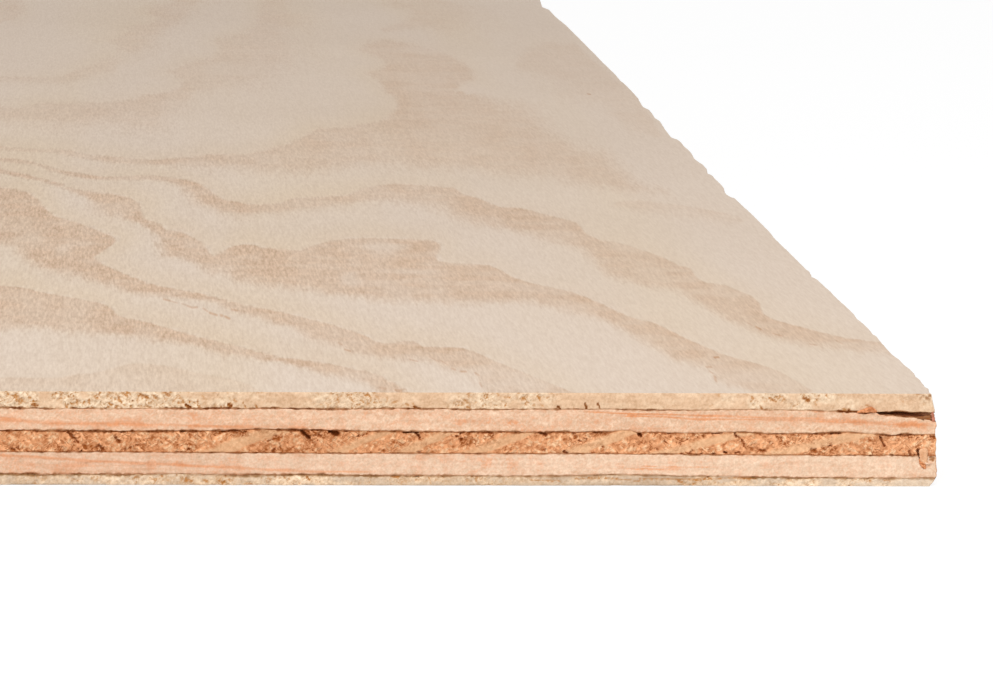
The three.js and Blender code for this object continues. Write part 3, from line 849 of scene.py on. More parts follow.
def core_end(edge, along, height, edges):
    """The core's end grain: slanting latewood that cut smoother, and torn earlywood between."""
    if edge == FRONT_EDGE:
        rings = CORE_RINGS + more_rings(190, 1240, 7)
    else:
        rings = more_rings(along.min(), along.max(), 9)
    band = latewood_bands(CORE, along, height, rings)
    torn = 1 - SMOOTHER * band
    grain = ((1 - band) * torn_grain(along, height, 0.5, 1.8, 28, 150 + edge)
             + band * torn_grain(along, height, 0.42, 3.4, -14, 350 + edge))
    patch = fade(noise(along / 4.2, height / 2.1, 121), -0.5, 0.6)
    hole = fade(noise(along / 1.1, height / 0.7, 122) - 0.35 * grain, 0.62, 0.9) * fade(patch, 0.3, 0.7)
    grain = grain - 0.25 * (patch - 0.5)
    deep = edges.core_tear / MM
    # Partly painted light: the tone is lighter on standing fibres and darker in hollows, and the pit mask
    # paints shade in the hollows and holes
    return {
        "inset": torn * deep * (0.1 * (1 - grain) + 0.4 * hole),
        "pit": torn * np.maximum(fade(-grain, 0.5, 1.5) * (0.3 + 0.3 * patch), 0.8 * hole),
        "tone": torn * grain + edge_light(CORE, edge, along),
        "level": smooth_wood_and_highlight(band, grain),
        "torn": (1 - 0.5 * band) * (0.65 + 0.35 * patch),
    }


def outer_end(layer, edge, along, height, edges):
    """The face's or back's end grain: smooth where it cut cleanly, and pale lumps where it tore."""
    torn = fade(noise(along / 13, height / 9, 130 + layer), -0.25, 0.5)
    torn = np.minimum(torn, 0.85)
    if layer == FACE and edge == FRONT_EDGE:
        further = np.maximum(torn, 1 - fade(along, IN_VIEW, OUT_OF_VIEW))
        torn = np.where(along < IN_VIEW, table(along, FACE_TEAR), further)
        torn = torn * np.clip(0.8 + 0.9 * noise(along / 2.6, height / 1.6, 131), 0, 1)
    elif layer == BACK and edge == FRONT_EDGE:
        torn = np.clip(table(along, BACK_TEAR) + 0.5 * noise(along / 3.5, height / 1.5, 132), 0, 1)
    size, aspect, tilt = (0.48, 1.3, -25) if layer == FACE else (0.4, 2.2, -8)
    grain = torn_grain(along, height, size, aspect, tilt, 160 + 20 * layer + edge)
    brown = fade(noise(along / 1.9, height / 1.2, 133 + layer) - 0.4 * grain, -0.1, 0.6)
    streaks = noise(along / 4.5, (height - 0.06 * along) / 0.4, 135)
    mottle = rough(along / 2.4, height / 1.2, 138, 2)
    torn_tone, smooth_tone = 0.7 * grain + 0.15, 0.35 * streaks + 0.6 * mottle + 0.35 * grain
    # Partly painted light: the torn tone is lighter on standing fibres, and the pit mask paints shade in the
    # hollows between them
    return {
        "inset": edges.face_tear / MM * 0.22 * (torn + 0.1) * (1 - grain),
        "pit": torn * fade(-grain, 0.0, 1.0) * (0.2 + 0.6 * brown),
        "tone": torn * torn_tone + (1 - torn) * smooth_tone + edge_light(layer, edge, along),
        "level": -1 + 1.9 * (1 - torn) - 0.6 * mottle,
        "torn": 0.12 + 0.52 * torn,
    }


def cross_end(layer, edge, along, height, edges):
    """A crossband's end grain, on the sheet's long edges: slanting rings, torn between."""
    rings = more_rings(along.min(), along.max(), 17 + edge + layer)
    band = latewood_bands(layer, along, height, rings)
    torn = 1 - SMOOTHER * band
    grain = torn_grain(along, height, 0.62, 1.7, 28, 190 + 10 * layer + edge)
    # Partly painted light: the tone is lighter on standing fibres, and the pit mask paints shade between them
    return {
        "inset": torn * 0.14 * edges.core_tear / MM * (1 - grain),
        "pit": (1 - band) * 0.5 * fade(-grain, 0.2, 1.35),
        "tone": torn * grain,
        "level": smooth_wood_and_highlight(band, grain),
        "torn": torn,
    }


def long_grain(layer, edge, along, height):
    """Sawn long grain: fibre lines, a fine tear, mottles and thin darker lines of latewood."""
    front = edge == FRONT_EDGE
    fibre = noise(along / 5, height / 0.25, 160 + layer)
    grain = torn_grain(along, height, 0.4, 1.3, 30, 162 + 20 * layer + edge)
    marks = noise(along / 0.7, height / 5, 164 + layer)
    mottle = rough(along / 3.2, height / 1.3, 163 + layer, 2)
    patches = fade(noise(along / 2.6, height / 1.4, 177 + layer) + 0.3 * grain, 0, 0.8)
    drawn = streak(along, height + 0.05 * fibre, CROSSBAND_STREAKS[layer]) if front else 0 * height
    grown = fade(rough(along / 60, height / 1.1, 170 + 3 * layer + edge), 0.25, 0.75)
    grown = 0.8 * grown * (fade(along, 190, 240) if front else 1)
    of_grain, of_marks, torn = (0.42, 0.12, 0.36) if layer == UPPER else (0.3, 0.25, 0.24)
    light = edge_light(layer, edge, along)
    latewood = 2.0 * np.maximum(drawn, grown) * (0.85 + 0.3 * fibre)
    return {
        "inset": 0.045 * (1 - grain),
        "pit": 0.0 * height,
        "tone": 0.25 * fibre + (of_grain * grain + of_marks * marks) + 0.3 * mottle + light,
        "level": -0.85 + latewood + 0.65 * patches + 0.15 * grain - 0.8 * light,
        "torn": 0.0 * height + torn,
    }


def edge_surface(layer, edge, along, height, edges):
    """Relief and masks of the end grain or long grain that a veneer shows on an edge."""
    if not is_end_grain(layer, edge):
        return long_grain(layer, edge, along, height)
    if layer == CORE:
        return core_end(edge, along, height, edges)
    if layer in (LOWER, UPPER):
        return cross_end(layer, edge, along, height, edges)
    return outer_end(layer, edge, along, height, edges)


def glue_line(line, away, along, edge, stage):
    """A glue line's mask at some distance from it: ragged, and thinner or thicker at each level."""
    width, dark = GLUE_LINES[line - 1]
    still = 0 * away
    ragged = np.clip(1 + 0.35 * noise(along / 2.7, still, 141 + line)
                     + 0.5 * noise(along / 0.6, still, 145 + line), 0.45, 2.2)
    strong = dark * (0.8 + 0.35 * noise(along / 1.1, still, 149 + line))
    if edge == FRONT_EDGE:
        pixels, darkness = np.array(LINE_DARKNESS[line - 1])[::-1].T
        places = on_front(np.stack([pixels, 0 * pixels + EDGE_PIXEL[1]], axis=1), stage)[:, 0]
        seen = np.interp(along, places, darkness)
        strong = strong * seen / 0.85
        ragged = ragged * (0.82 + 0.4 * seen**2)
    return np.clip(strong, 0, 1) * np.exp(-((away / (width * ragged)) ** 4))


def rounding(layer, edge, along, away, edges):
    """How far an outer arris is rounded back: a quarter circle of uneven radius."""
    radius = edges.arris_round / MM * (1 + 0.5 * rough(along / 1.1, 0 * away, 180 + layer))
    if layer == BACK and edge == FRONT_EDGE:
        radius = table(along, LOWER_WEAR) * (1 + 0.6 * rough(along / 1.7, 0 * away, 185))
    part = np.clip(1 - away / radius, 0, 1)
    return radius * (1 - np.sqrt(1 - part**2))


def wall(layer, edge, along, step, height, bottom, top, scene):
    """Inset of a veneer's wall from the sheet's outline, and the masks of its surface.

    The inset adds the glue lines' grooves, the tear of end grain or the fibres of long grain, the
    rounding of arrises and corners, the saw's lean, and the damage. Wide steps leave out the fine relief.
    """
    edges, damage, stage = scene.plywood_edge, scene.plywood_damage, scene.plywood_stage
    front = edge == FRONT_EDGE
    surface = edge_surface(layer, edge, along, height, edges)
    fine = np.clip(1.6 - 1.3 * step, 0, 1)
    over, under = height - bottom, np.maximum(top - height, 0)
    glued = ([(layer, over)] if layer > BACK else []) + ([(layer + 1, under)] if layer < FACE else [])
    to_glue = np.minimum.reduce([away for line, away in glued])
    clear = fade(to_glue, 0, 0.13)
    groove = edges.groove_depth / MM * (0.8 + 0.5 * noise(along / 3.1, 0 * height, 140))
    inset = groove * np.exp(-((to_glue / (edges.groove_width / MM)) ** 2))
    glue = np.zeros_like(height)
    for line, away in glued:
        glue = np.maximum(glue, glue_line(line, away, along, edge, stage))

    hollow, pit, level = surface["inset"], surface["pit"], surface["level"]
    if edge == RIGHT_EDGE:
        hollow = (0.15 + 0.3 * fade(along, 6, 20)) * hollow
    if front:
        # The marks are cut in as gaps, and their pit and glue colours are partly painted shade inside them
        marks = edge_marks(layer, along, height, stage)
        hollow = np.maximum(hollow, edges.gap_depth / MM * marks**2 * (0.9 if layer == CORE else 0.4))
        pit = np.maximum(pit, marks)
        glue = np.maximum(glue, 0.9 * fade(marks, 0.72, 1.0))
    else:
        pit = pit * clear
    # Painted shade: a ragged dark fringe, in the glue colour, at the top of the face's end grain by the
    # right-hand corner
    if front and layer == FACE:
        painted_corner_shade = fade(noise(along / 0.6, height / 0.4, 144), -0.1, 0.5) * fade(-along, -7, -1)
        glue = np.maximum(glue, 0.55 * painted_corner_shade * fade(height, TOP - 2.2, TOP - 0.6))
    inset = inset + hollow * clear * fine

    if layer in (BACK, FACE):
        inset = inset + rounding(layer, edge, along, under if layer == FACE else over, edges)
    if edge in (FRONT_EDGE, RIGHT_EDGE):
        worn = edges.corner_round / MM
        inset = inset + 0.29 * worn * np.clip(1 - along / (1.7 * worn), 0, 1) ** 2
    inset = inset + 0.03 * (1 + noise(along / 37, height / 12, 181))
    if edge == RIGHT_EDGE:
        inset = right_edge(layer, along, height, inset, scene)
    if front and layer in (LOWER, CORE):
        bed, right = splinter_bed(along, height, damage), damage.torn_inset / MM
        inset = inset + damage.torn_depth / MM * bed
        pit = np.maximum(pit, 0.5 * bed * fade(along, right + 0.6, right + 1.2))
        level = level - 2 * bed
    return inset, {
        "pit": np.clip(pit, 0, 1), "glue": glue, "level": level,
        "end": np.full_like(height, is_end_grain(layer, edge)), "tone": surface["tone"] * fine,
        "strength": np.ones_like(height), "tint": np.zeros_like(height), "fibre": np.ones_like(height),
        "torn": surface["torn"] * clear,
    }


# ---- columns, rows and grids

# How much further along the noise of the rear and left edges is read, so that it isn't the front's
REAR_SHIFT, LEFT_SHIFT = 3000.0, 6000.0
REAR_COLUMNS, LEFT_COLUMNS = 140, 280
# A wall's closest rows, by height above a glue line, and the first height and the step of the rest
CLOSE_ROWS = np.array([0, 0.05, 0.11, 0.19])
FIRST_ROW, ROW_STEP = 0.36, 0.2
# Anticlockwise from the front, where each edge starts, which way it runs in X and Y, and its length
STARTS = [(LEFT, FRONT), (RIGHT, FRONT), (RIGHT, REAR), (LEFT, REAR)]
ONWARDS = [(1, 0), (0, 1), (-1, 0), (0, -1)]
SPANS = [RIGHT - LEFT, REAR - FRONT] * 2
# How far from a corner a wall's columns follow the inset of the edge beside it
CORNER_REACH = 12
# How far inside the outline a cap's grid starts, on an outer face and on a glued one
OUTER_MARGIN, GLUED_MARGIN = 4.0, 1.6
# How much glue a glued face shows
GLUED_SHADE = 0.4
# The width of the ring inside an outer arris
RIM_WIDTH = 0.12


def edge_stations():
    """Columns of the walls along each edge: share of the edge, distance from the corner, and spacing."""
    width, depth = SPANS[:2]

    def front_spacing(place):
        return 0.2 + 7.0 * fade(place, 188, 420)

    def right_spacing(place):
        return (0.35 + 0.85 * fade(place, 12, 60) + 1.6 * fade(place, 150, 500)
                + 5.0 * fade(place, 950, 1300))

    front, right = graded(width, front_spacing)[::-1], graded(depth, right_spacing)
    rear, left = np.linspace(0, width, REAR_COLUMNS), np.linspace(0, depth, LEFT_COLUMNS)
    return [
        (1 - front / width, front, front_spacing(front)),
        (right / depth, right, right_spacing(right)),
        (rear / width, rear + REAR_SHIFT, np.ones(REAR_COLUMNS)),
        (left / depth, left + LEFT_SHIFT, np.ones(LEFT_COLUMNS)),
    ]


def row_shares(thickness):
    """Rows of a wall, closer together by its two glue lines, as shares of its height."""
    middle = np.linspace(FIRST_ROW, thickness - FIRST_ROW, int((thickness - 0.7) / ROW_STEP))
    return np.concatenate([CLOSE_ROWS, middle, thickness - CLOSE_ROWS[::-1]]) / thickness


def outline_place(edge, share):
    """X and Y on the sheet's outline at a share of an edge, going round it anticlockwise."""
    (start_x, start_y), (onwards_x, onwards_y), place = STARTS[edge], ONWARDS[edge], share * SPANS[edge]
    return start_x + place * onwards_x, start_y + place * onwards_y


def by_corner(place):
    """How much of the next edge's inset a wall's column takes up, by its distance from that corner."""
    return 1 - fade(place, 0, CORNER_REACH)


def plain_spacing(place):
    """Grid steps of a hidden cap: fine by the front right corner, coarse elsewhere."""
    return 0.9 + 60 * fade(place, 12, 300)


def face_spacing_x(place):
    """Grid steps of the face across the grain."""
    return 1.9 + 22.0 * fade(place, 195, 420)


def face_spacing_y(place):
    """Grid steps of the face along the grain."""
    thin_rings = fade(place, 250, 330) * (1 - fade(place, 470, 560))
    return 4.0 + 5.0 * fade(place, 0, 500) - 5.0 * thin_rings + 34.0 * fade(place, 960, 1400)


def cap_grid(margin, spacing_x, spacing_y, start):
    """A grid inside the sheet's outline: its X and Y, quads, boundary loop and the loop's shares."""
    x = RIGHT - margin - graded(RIGHT - LEFT - 2 * margin, spacing_x)[::-1]
    y = FRONT + margin + graded(REAR - FRONT - 2 * margin, spacing_y)
    index = start + np.arange(len(x) * len(y)).reshape(len(y), len(x))
    quads = np.stack([index[:-1, :-1], index[:-1, 1:], index[1:, 1:], index[1:, :-1]], axis=-1)
    loop = np.concatenate([index[0, :-1], index[:-1, -1], index[-1, :0:-1], index[:0:-1, 0]])
    share_x, share_y = (x - x[0]) / (x[-1] - x[0]), (y - y[0]) / (y[-1] - y[0])
    shares = np.concatenate([share_x[:-1], 1 + share_y[:-1], 3 - share_x[:0:-1], 4 - share_y[:0:-1]])
    grid_x, grid_y = np.meshgrid(x, y)
    return grid_x, grid_y, quads.reshape(-1, 4), loop, shares


# ---- meshes

def new_mesh(name, points, quads, triangles, masks=None, smooth=0):
    """An object from arrays: points in millimetres, faces, masks by point, the first faces smooth."""
    mesh = bpy.data.meshes.new(name)
    corners = np.concatenate([quads.ravel(), triangles.ravel()]).astype(np.int32)
    sizes = np.concatenate([np.full(len(quads), 4), np.full(len(triangles), 3)])
    starts = np.concatenate([[0], np.cumsum(sizes)[:-1]]).astype(np.int32)
    mesh.vertices.add(len(points))
    mesh.vertices.foreach_set("co", (points * MM).astype(np.float32).ravel())
    mesh.loops.add(len(corners))
    mesh.loops.foreach_set("vertex_index", corners)
    mesh.polygons.add(len(sizes))
    mesh.polygons.foreach_set("loop_start", starts)
    mesh.polygons.foreach_set("use_smooth", np.arange(len(sizes)) < smooth)
    for mask, values in (masks or {}).items():
        layer = mesh.attributes.new(mask, "FLOAT", "POINT")
        layer.data.foreach_set("value", values.astype(np.float32).ravel())
    mesh.update(calc_edges=True)
    if mesh.validate():
        raise RuntimeError(f"{name} has faces that are not valid")
    piece = bpy.data.objects.new(name, mesh)
    bpy.context.scene.collection.objects.link(piece)
    return piece


def as_points(x, y, z):
    """Points in rows of X, Y and Z, from three grids."""
    return np.stack([x.ravel(), y.ravel(), z.ravel()], axis=1)


def round_quads(index):
    """Quads between the rows of a grid of point numbers whose columns run round in a ring."""
    beside = np.roll(index, -1, axis=1)
    return np.stack([index[:-1], beside[:-1], beside[1:], index[1:]], axis=-1).reshape(-1, 4)


def zip_loops(outer, outer_share, inner, inner_share):
    """Triangles between two closed loops: each step takes the loop that lags behind.

    A loop's share runs from 0 to 4 round the sheet, a whole number at each corner.
    """
    outer_next, inner_next = np.roll(outer, -1), np.roll(inner, -1)
    outer_end = np.append(outer_share[1:], 4.0)
    inner_end = np.append(inner_share[1:], 4.0)
    at_inner = np.searchsorted(inner_end, outer_end, side="left") % len(inner)
    at_outer = np.searchsorted(outer_end, inner_end, side="right") % len(outer)
    return np.concatenate([
        np.stack([outer, outer_next, inner[at_inner]], axis=1),
        np.stack([inner, outer[at_outer], inner_next], axis=1),
    ])


def signed_volume(points, quads, triangles):
    """Volume inside a closed mesh, below zero where its faces point inwards."""
    triangles = np.concatenate([triangles, quads[:, [0, 1, 2]], quads[:, [0, 2, 3]]])
    a, b, c = (points[triangles[:, n]] - points[0] for n in range(3))
    return np.einsum("ij,ij->", a, np.cross(b, c)) / 6


# ---- veneers

def add_rim(layer, inset, height, masks):
    """Adds a narrow ring of the outer face inside its arris, so that the edge's masks end there."""
    outermost = slice(-1, None) if layer == FACE else slice(0, 1)

    def with_ring(rows, ring):
        return np.vstack([rows, ring] if layer == FACE else [ring, rows])

    ring = inset[outermost] + RIM_WIDTH
    still = np.zeros_like(ring)
    of_ring = {"strength": still + GROWN_STRENGTH, "fibre": still + 1}
    masks = {key: with_ring(rows, of_ring.get(key, still)) for key, rows in masks.items()}
    return with_ring(inset, ring), with_ring(height, height[outermost]), masks


def veneer_walls(layer, stations, scene):
    """A veneer's inset, height and masks on each edge. The front's distances start from the right's inset."""
    rows = row_shares(LEVELS[layer + 1] - LEVELS[layer])[:, None]
    walls = {}
    for edge in (RIGHT_EDGE, FRONT_EDGE, REAR_EDGE, LEFT_EDGE):
        share, along, step = stations[edge]
        x, y = outline_place(edge, share)
        low, high = (surface_level(layer, above, x, y, scene.plywood_damage) for above in (False, True))
        height = low + rows * (high - low)
        place = along[None] + 0 * height
        if edge == FRONT_EDGE:
            beside = walls[RIGHT_EDGE][0][:, :1]
            beside = beside[-len(rows):] if layer == BACK else beside[:len(rows)]
            place = place + beside * by_corner(along)
        inset, masks = wall(layer, edge, place, step[None], height, low, high, scene)
        if layer in (BACK, FACE):
            inset, height, masks = add_rim(layer, inset, height, masks)
        walls[edge] = inset, height, masks
    return [walls[edge] for edge in range(len(stations))]


def joined_walls(walls, stations):
    """The walls joined round the sheet: X, Y and Z of their points, and the masks.

    Each point is moved in by its own inset, and near a corner along by the inset of the edge beside it.
    """
    columns = []
    for edge, (share, along, step) in enumerate(stations):
        inset, height, masks = walls[edge]
        x, y = outline_place(edge, share)
        before = walls[edge - 1][0][:, -1:] * by_corner(share * SPANS[edge])
        after = walls[(edge + 1) % len(walls)][0][:, :1] * by_corner((1 - share) * SPANS[edge])
        forth, (onwards_x, onwards_y) = before - after, ONWARDS[edge]
        x = x + forth * onwards_x - inset * onwards_y
        y = y + forth * onwards_y + inset * onwards_x
        columns.append([values[:, :-1] for values in (x, y, height, *masks.values())])
    x, y, z, *joined = (np.hstack(parts) for parts in zip(*columns))
    return x, y, z, dict(zip(masks, joined))


def cap_surface(layer, above, x, y, scene):
    """Height and masks of a veneer's top or underside, with glue on the faces that are glued."""
    if (layer, above) == (FACE, True):
        masks = face_figure(x, y, scene.plywood_stage)
    else:
        masks = {"level": figure_far(x, y, HIDDEN_SEED + layer),
                 "strength": np.full_like(x, GROWN_STRENGTH), "fibre": np.ones_like(x)}
    glued = (layer, above) not in OUTER_FACES
    masks["glue"] = np.full_like(x, GLUED_SHADE if glued else 0.0)
    if layer + above == FACE:
        masks["glue"] = masks["glue"] * (1 - fade(open_wedge(x, y, scene.plywood_damage), 0, 0.3))
    return surface_level(layer, above, x, y, scene.plywood_damage), masks


def build_veneer(layer, name, scene):
    """One veneer as a closed mesh: a wall carried round the sheet, and a cap above and below."""
    stations = edge_stations()
    x, y, z, masks = joined_walls(veneer_walls(layer, stations, scene), stations)
    shares = np.concatenate([edge + share[:-1] for edge, (share, along, step) in enumerate(stations)])
    index = np.arange(x.size).reshape(x.shape)
    points, quads, triangles = [as_points(x, y, z)], [round_quads(index)], []
    masks = {key: [values.ravel()] for key, values in masks.items()}
    total = x.size
    for above, ring in ((False, index[0]), (True, index[-1])):
        margin = OUTER_MARGIN if (layer, above) in OUTER_FACES else GLUED_MARGIN
        spacing = [plain_spacing, plain_spacing]
        if (layer, above) == (FACE, True):
            spacing = [face_spacing_x, face_spacing_y]
        cap_x, cap_y, cap_quads, loop, loop_shares = cap_grid(margin, *spacing, total)
        cap_z, cap_masks = cap_surface(layer, above, cap_x, cap_y, scene)
        strip = zip_loops(ring, shares, loop, loop_shares)
        if not above:
            cap_quads, strip = cap_quads[:, ::-1], strip[:, ::-1]
        points.append(as_points(cap_x, cap_y, cap_z))
        quads.append(cap_quads)
        triangles.append(strip)
        for key, parts in masks.items():
            parts.append(cap_masks.get(key, np.zeros_like(cap_x)).ravel())
        total += cap_x.size
    masks = {key: np.concatenate(parts) for key, parts in masks.items()}
    if layer == FACE:
        figure = face_figure(x[-1], y[-1], scene.plywood_stage)
        for key in ("level", "strength", "tint", "fibre"):
            masks[key][index[-1]] = figure[key]
    if layer == BACK:
        masks["level"][index[0]] = figure_far(x[0], y[0], HIDDEN_SEED + layer)
    return new_mesh(name, np.concatenate(points), np.concatenate(quads), np.concatenate(triangles),
                    masks, smooth=len(quads[0]))


# ---- slivers

# Points round a sliver, and rings along it
SLIVER_SIDES, SLIVER_RINGS = 16, 26
# The share of a sliver's length over which each end closes
CLOSING = 0.05


def build_sliver(name, spine, thickness, torn, seed):
    """A closed splinter on the front edge: boxy rings along a spine, with ends that close quickly."""
    share = np.linspace(0, 1, SLIVER_RINGS)
    knots = np.linspace(0, 1, len(spine))
    along, out, height, half = (np.interp(share, knots, column) for column in np.transpose(spine))
    run, rise = np.gradient(along), np.gradient(height)
    reach = np.hypot(run, rise)
    taper = np.clip(np.minimum(share, 1 - share) / CLOSING, 0.02, 1) ** 0.5
    turn, down = np.linspace(0, 2 * np.pi, SLIVER_SIDES, endpoint=False)[None], share[:, None]
    rugged = 1 + 0.3 * noise(3 * np.cos(turn) + 9 * down, 3 * np.sin(turn) + 14 * down, seed)
    sideways, outwards = (np.sign(side) * np.abs(side) ** 0.6 for side in (np.cos(turn), np.sin(turn)))
    across = (half * taper)[:, None] * sideways * rugged
    x = RIGHT - along[:, None] - across * (rise / reach)[:, None]
    y = FRONT - out[:, None] - thickness / 2 * taper[:, None] * outwards * rugged
    z = height[:, None] - across * (run / reach)[:, None]
    index = np.arange(x.size).reshape(x.shape)
    beside, quads = np.roll(index, -1, axis=1), round_quads(index)
    fans = np.concatenate([
        np.stack([np.full(SLIVER_SIDES, x.size), beside[0], index[0]], axis=1),
        np.stack([np.full(SLIVER_SIDES, x.size + 1), index[-1], beside[-1]], axis=1),
    ])
    tips = [[values[end].mean() for values in (x, y, z)] for end in (0, -1)]
    points = np.concatenate([as_points(x, y, z), tips])
    if signed_volume(points, quads, fans) < 0:
        quads, fans = quads[:, ::-1], fans[:, ::-1]
    still = np.zeros(len(points))
    tone = np.append(0.8 * noise(3 * turn, 3 * down, seed + 1).ravel(), [0, 0])
    masks = {"tone": tone, "level": still - 2, "strength": still, "end": still + (torn > 0.5), "pit": still,
             "glue": still, "torn": still + torn, "fibre": still + 1}
    return new_mesh(name, points, quads, fans, masks, smooth=len(quads))


# ---- node groups

class Tree:
    """Short ways to add and join nodes in one node tree."""

    def __init__(self, tree):
        self.nodes = tree.nodes
        self.links = tree.links

    def feed(self, socket, value):
        """Links a socket to another, or sets its value."""
        if isinstance(value, bpy.types.NodeSocket):
            self.links.new(value, socket)
        else:
            socket.default_value = value

    def add(self, kind, inputs=None, **settings):
        """A node with its settings and inputs."""
        node = self.nodes.new(kind)
        for setting, value in settings.items():
            setattr(node, setting, value)
        for socket, value in (inputs or {}).items():
            self.feed(node.inputs[socket], value)
        return node

    def math(self, operation, first, second=0.0, clamp=False):
        """One sum."""
        node = self.add("ShaderNodeMath", {0: first, 1: second}, operation=operation, use_clamp=clamp)
        return node.outputs[0]

    def plus(self, first, second):
        """Two values added."""
        return self.math("ADD", first, second)

    def minus(self, first, second):
        """The second value taken from the first."""
        return self.math("SUBTRACT", first, second)

    def times(self, first, second, clamp=False):
        """Two values multiplied."""
        return self.math("MULTIPLY", first, second, clamp)

    def vector(self, operation, inputs, result=0):
        """One sum of vectors."""
        return self.add("ShaderNodeVectorMath", inputs, operation=operation).outputs[result]

    def mix(self, factor, first, second, blend="MIX"):
        """Two colours mixed."""
        node = self.add("ShaderNodeMix", {"Factor": factor}, data_type="RGBA", blend_type=blend)
        self.feed(node.inputs[6], first)
        self.feed(node.inputs[7], second)
        return node.outputs[2]

    def stain(self, colour_socket, stain):
        """A colour multiplied by another."""
        return self.mix(1.0, colour_socket, stain, "MULTIPLY")

    def step(self, value, low, high, first=0.0, last=1.0):
        """A smooth step between two values."""
        node = self.add("ShaderNodeMapRange", {"Value": value, "From Min": low, "From Max": high,
                                               "To Min": first, "To Max": last},
                        interpolation_type="SMOOTHSTEP")
        return node.outputs["Result"]

    def noise(self, vector, scale, detail=2.0, roughness=0.5):
        """Noise from about 0 to 1."""
        return self.add("ShaderNodeTexNoise", {"Vector": vector, "Scale": scale, "Detail": detail,
                                               "Roughness": roughness}).outputs["Fac"]

    def swing(self, vector, scale, detail=2.0, roughness=0.5):
        """Noise from about -0.5 to 0.5."""
        return self.minus(self.noise(vector, scale, detail, roughness), 0.5)

    def mask(self, name):
        """A mask of the mesh."""
        return self.add("ShaderNodeAttribute", attribute_name=name).outputs["Fac"]

    def place(self):
        """Places on the object, in metres."""
        return self.add("ShaderNodeTexCoord").outputs["Object"]

    def brighter(self, colour_socket, tone):
        """Wood made lighter or darker by a tone, and browner where it is darker."""
        factors = [self.plus(self.times(tone, part), 1.0) for part in BROWNING]
        tint = self.add("ShaderNodeCombineColor", dict(enumerate(factors))).outputs[0]
        return self.stain(colour_socket, tint)


def bare_tree(owner):
    """The emptied node tree of a material or world."""
    owner.use_nodes = True
    owner.node_tree.nodes.clear()
    return Tree(owner.node_tree)


def new_group(name, inputs, outputs):
    """A shader node group with named sockets, and the tree, input and output nodes to fill it."""
    group = bpy.data.node_groups.new(name, "ShaderNodeTree")
    for direction, sockets in (("INPUT", inputs), ("OUTPUT", outputs)):
        for socket, kind in sockets:
            group.interface.new_socket(socket, in_out=direction, socket_type=f"NodeSocket{kind}")
    tree = Tree(group)
    return group, tree, tree.add("NodeGroupInput").outputs, tree.add("NodeGroupOutput").inputs


# How much red, green and blue change where wood is darker or lighter
BROWNING = (1.0, 1.3, 1.6)
# How much the mesh's tone mask darkens or lightens
TONE_DEPTH = 0.15
# What is left of the light where glue has soaked in, outside a ring, in a fleck, and in slow patches
GLUE_STAIN = (0.62, 0.46, 0.33, 1.0)
YELLOW_TINT = (0.982, 0.957, 0.9, 1.0)
FLECK_STAIN = (0.82, 0.64, 0.5, 1.0)
PATCH_STAIN = (1.0, 0.99, 0.945, 1.0)
# Sets of torn fibres: how steeply they rise, their length and thickness in millimetres, and how
# many of them stand out
FIBRE_SETS = [(-38, 2.6, 0.62, 1.0), (28, 2.8, 0.62, 1.0), (72, 1.5, 0.5, 0.8)]
# How far the torn fibres curl, in millimetres
CURL = 1.1


def fibre_group():
    """Torn end grain: painted shade in thin crevices round broken fibres, and chips of painted highlight and
    shade on the fibres.
    """
    name = "Torn Fibres"
    if name in bpy.data.node_groups:
        return bpy.data.node_groups[name]
    outputs = [("Crevice", "Float"), ("Chips", "Float")]
    group, tree, given, out = new_group(name, [("Place", "Vector")], outputs)
    parts = tree.add("ShaderNodeSeparateXYZ", {0: given["Place"]}).outputs
    flat = tree.add("ShaderNodeCombineXYZ", {0: tree.plus(parts[0], parts[1]), 1: parts[2]}).outputs[0]
    curl = tree.add("ShaderNodeTexNoise", {"Vector": flat, "Scale": 620.0, "Detail": 1.0}).outputs["Color"]
    curl = tree.vector("SUBTRACT", {0: curl, 1: (0.5, 0.5, 0.5)})
    curl = tree.vector("MULTIPLY", {0: curl, 1: (CURL * MM, CURL * MM, 0.0)})
    flat = tree.vector("ADD", {0: flat, 1: curl})
    crevice, chips = 0.0, 0.0
    for number, (tilt, long, thin, share) in enumerate(FIBRE_SETS):
        local = tree.add("ShaderNodeMapping", {
            "Vector": flat, "Location": (number * 0.37, number * 0.21, 0.0),
            "Rotation": (0.0, 0.0, np.radians(tilt)), "Scale": (long * MM, thin * MM, 1.0)},
            vector_type="TEXTURE")
        swing = tree.swing(local.outputs[0], 1.0, 1.0, 0.4)
        line = tree.step(tree.math("ABSOLUTE", swing), 0.0, 0.085, 1.0, 0.0)
        moved = tree.add("ShaderNodeMapping", {"Vector": flat, "Location": (number * 0.53 + 0.1, 0.3, 0.0)})
        shown = tree.step(tree.noise(moved.outputs[0], 800.0, 1.0), 0.42, 0.56)
        crevice = tree.math("MAXIMUM", crevice, tree.times(tree.times(line, shown), share))
        chips = tree.plus(chips, swing)
    tree.feed(out["Crevice"], crevice)
    tree.feed(out["Chips"], chips)
    return group


def fleck_group():
    """A fleck: full along a short stretch, and fading out across its width.

    Places, the start and the run are in metres on the face, with Y shortened as the fibres draw it out.
    """
    name = "Resin Fleck"
    if name in bpy.data.node_groups:
        return bpy.data.node_groups[name]
    inputs = [("Place", "Vector"), ("Start", "Vector"), ("Run", "Vector"), ("Width", "Float")]
    group, tree, given, out = new_group(name, inputs, [("Mask", "Float")])
    from_start = tree.vector("SUBTRACT", {0: given["Place"], 1: given["Start"]})
    done = tree.vector("DOT_PRODUCT", {0: from_start, 1: given["Run"]}, "Value")
    whole = tree.vector("DOT_PRODUCT", {0: given["Run"], 1: given["Run"]}, "Value")
    share = tree.math("DIVIDE", done, whole, clamp=True)
    middle = tree.vector("SCALE", {0: given["Run"], "Scale": share})
    away = tree.vector("DISTANCE", {0: from_start, 1: middle}, "Value")
    tree.feed(out["Mask"], tree.step(tree.math("DIVIDE", away, given["Width"]), 0.3, 1.6, 1.0, 0.0))
    return group


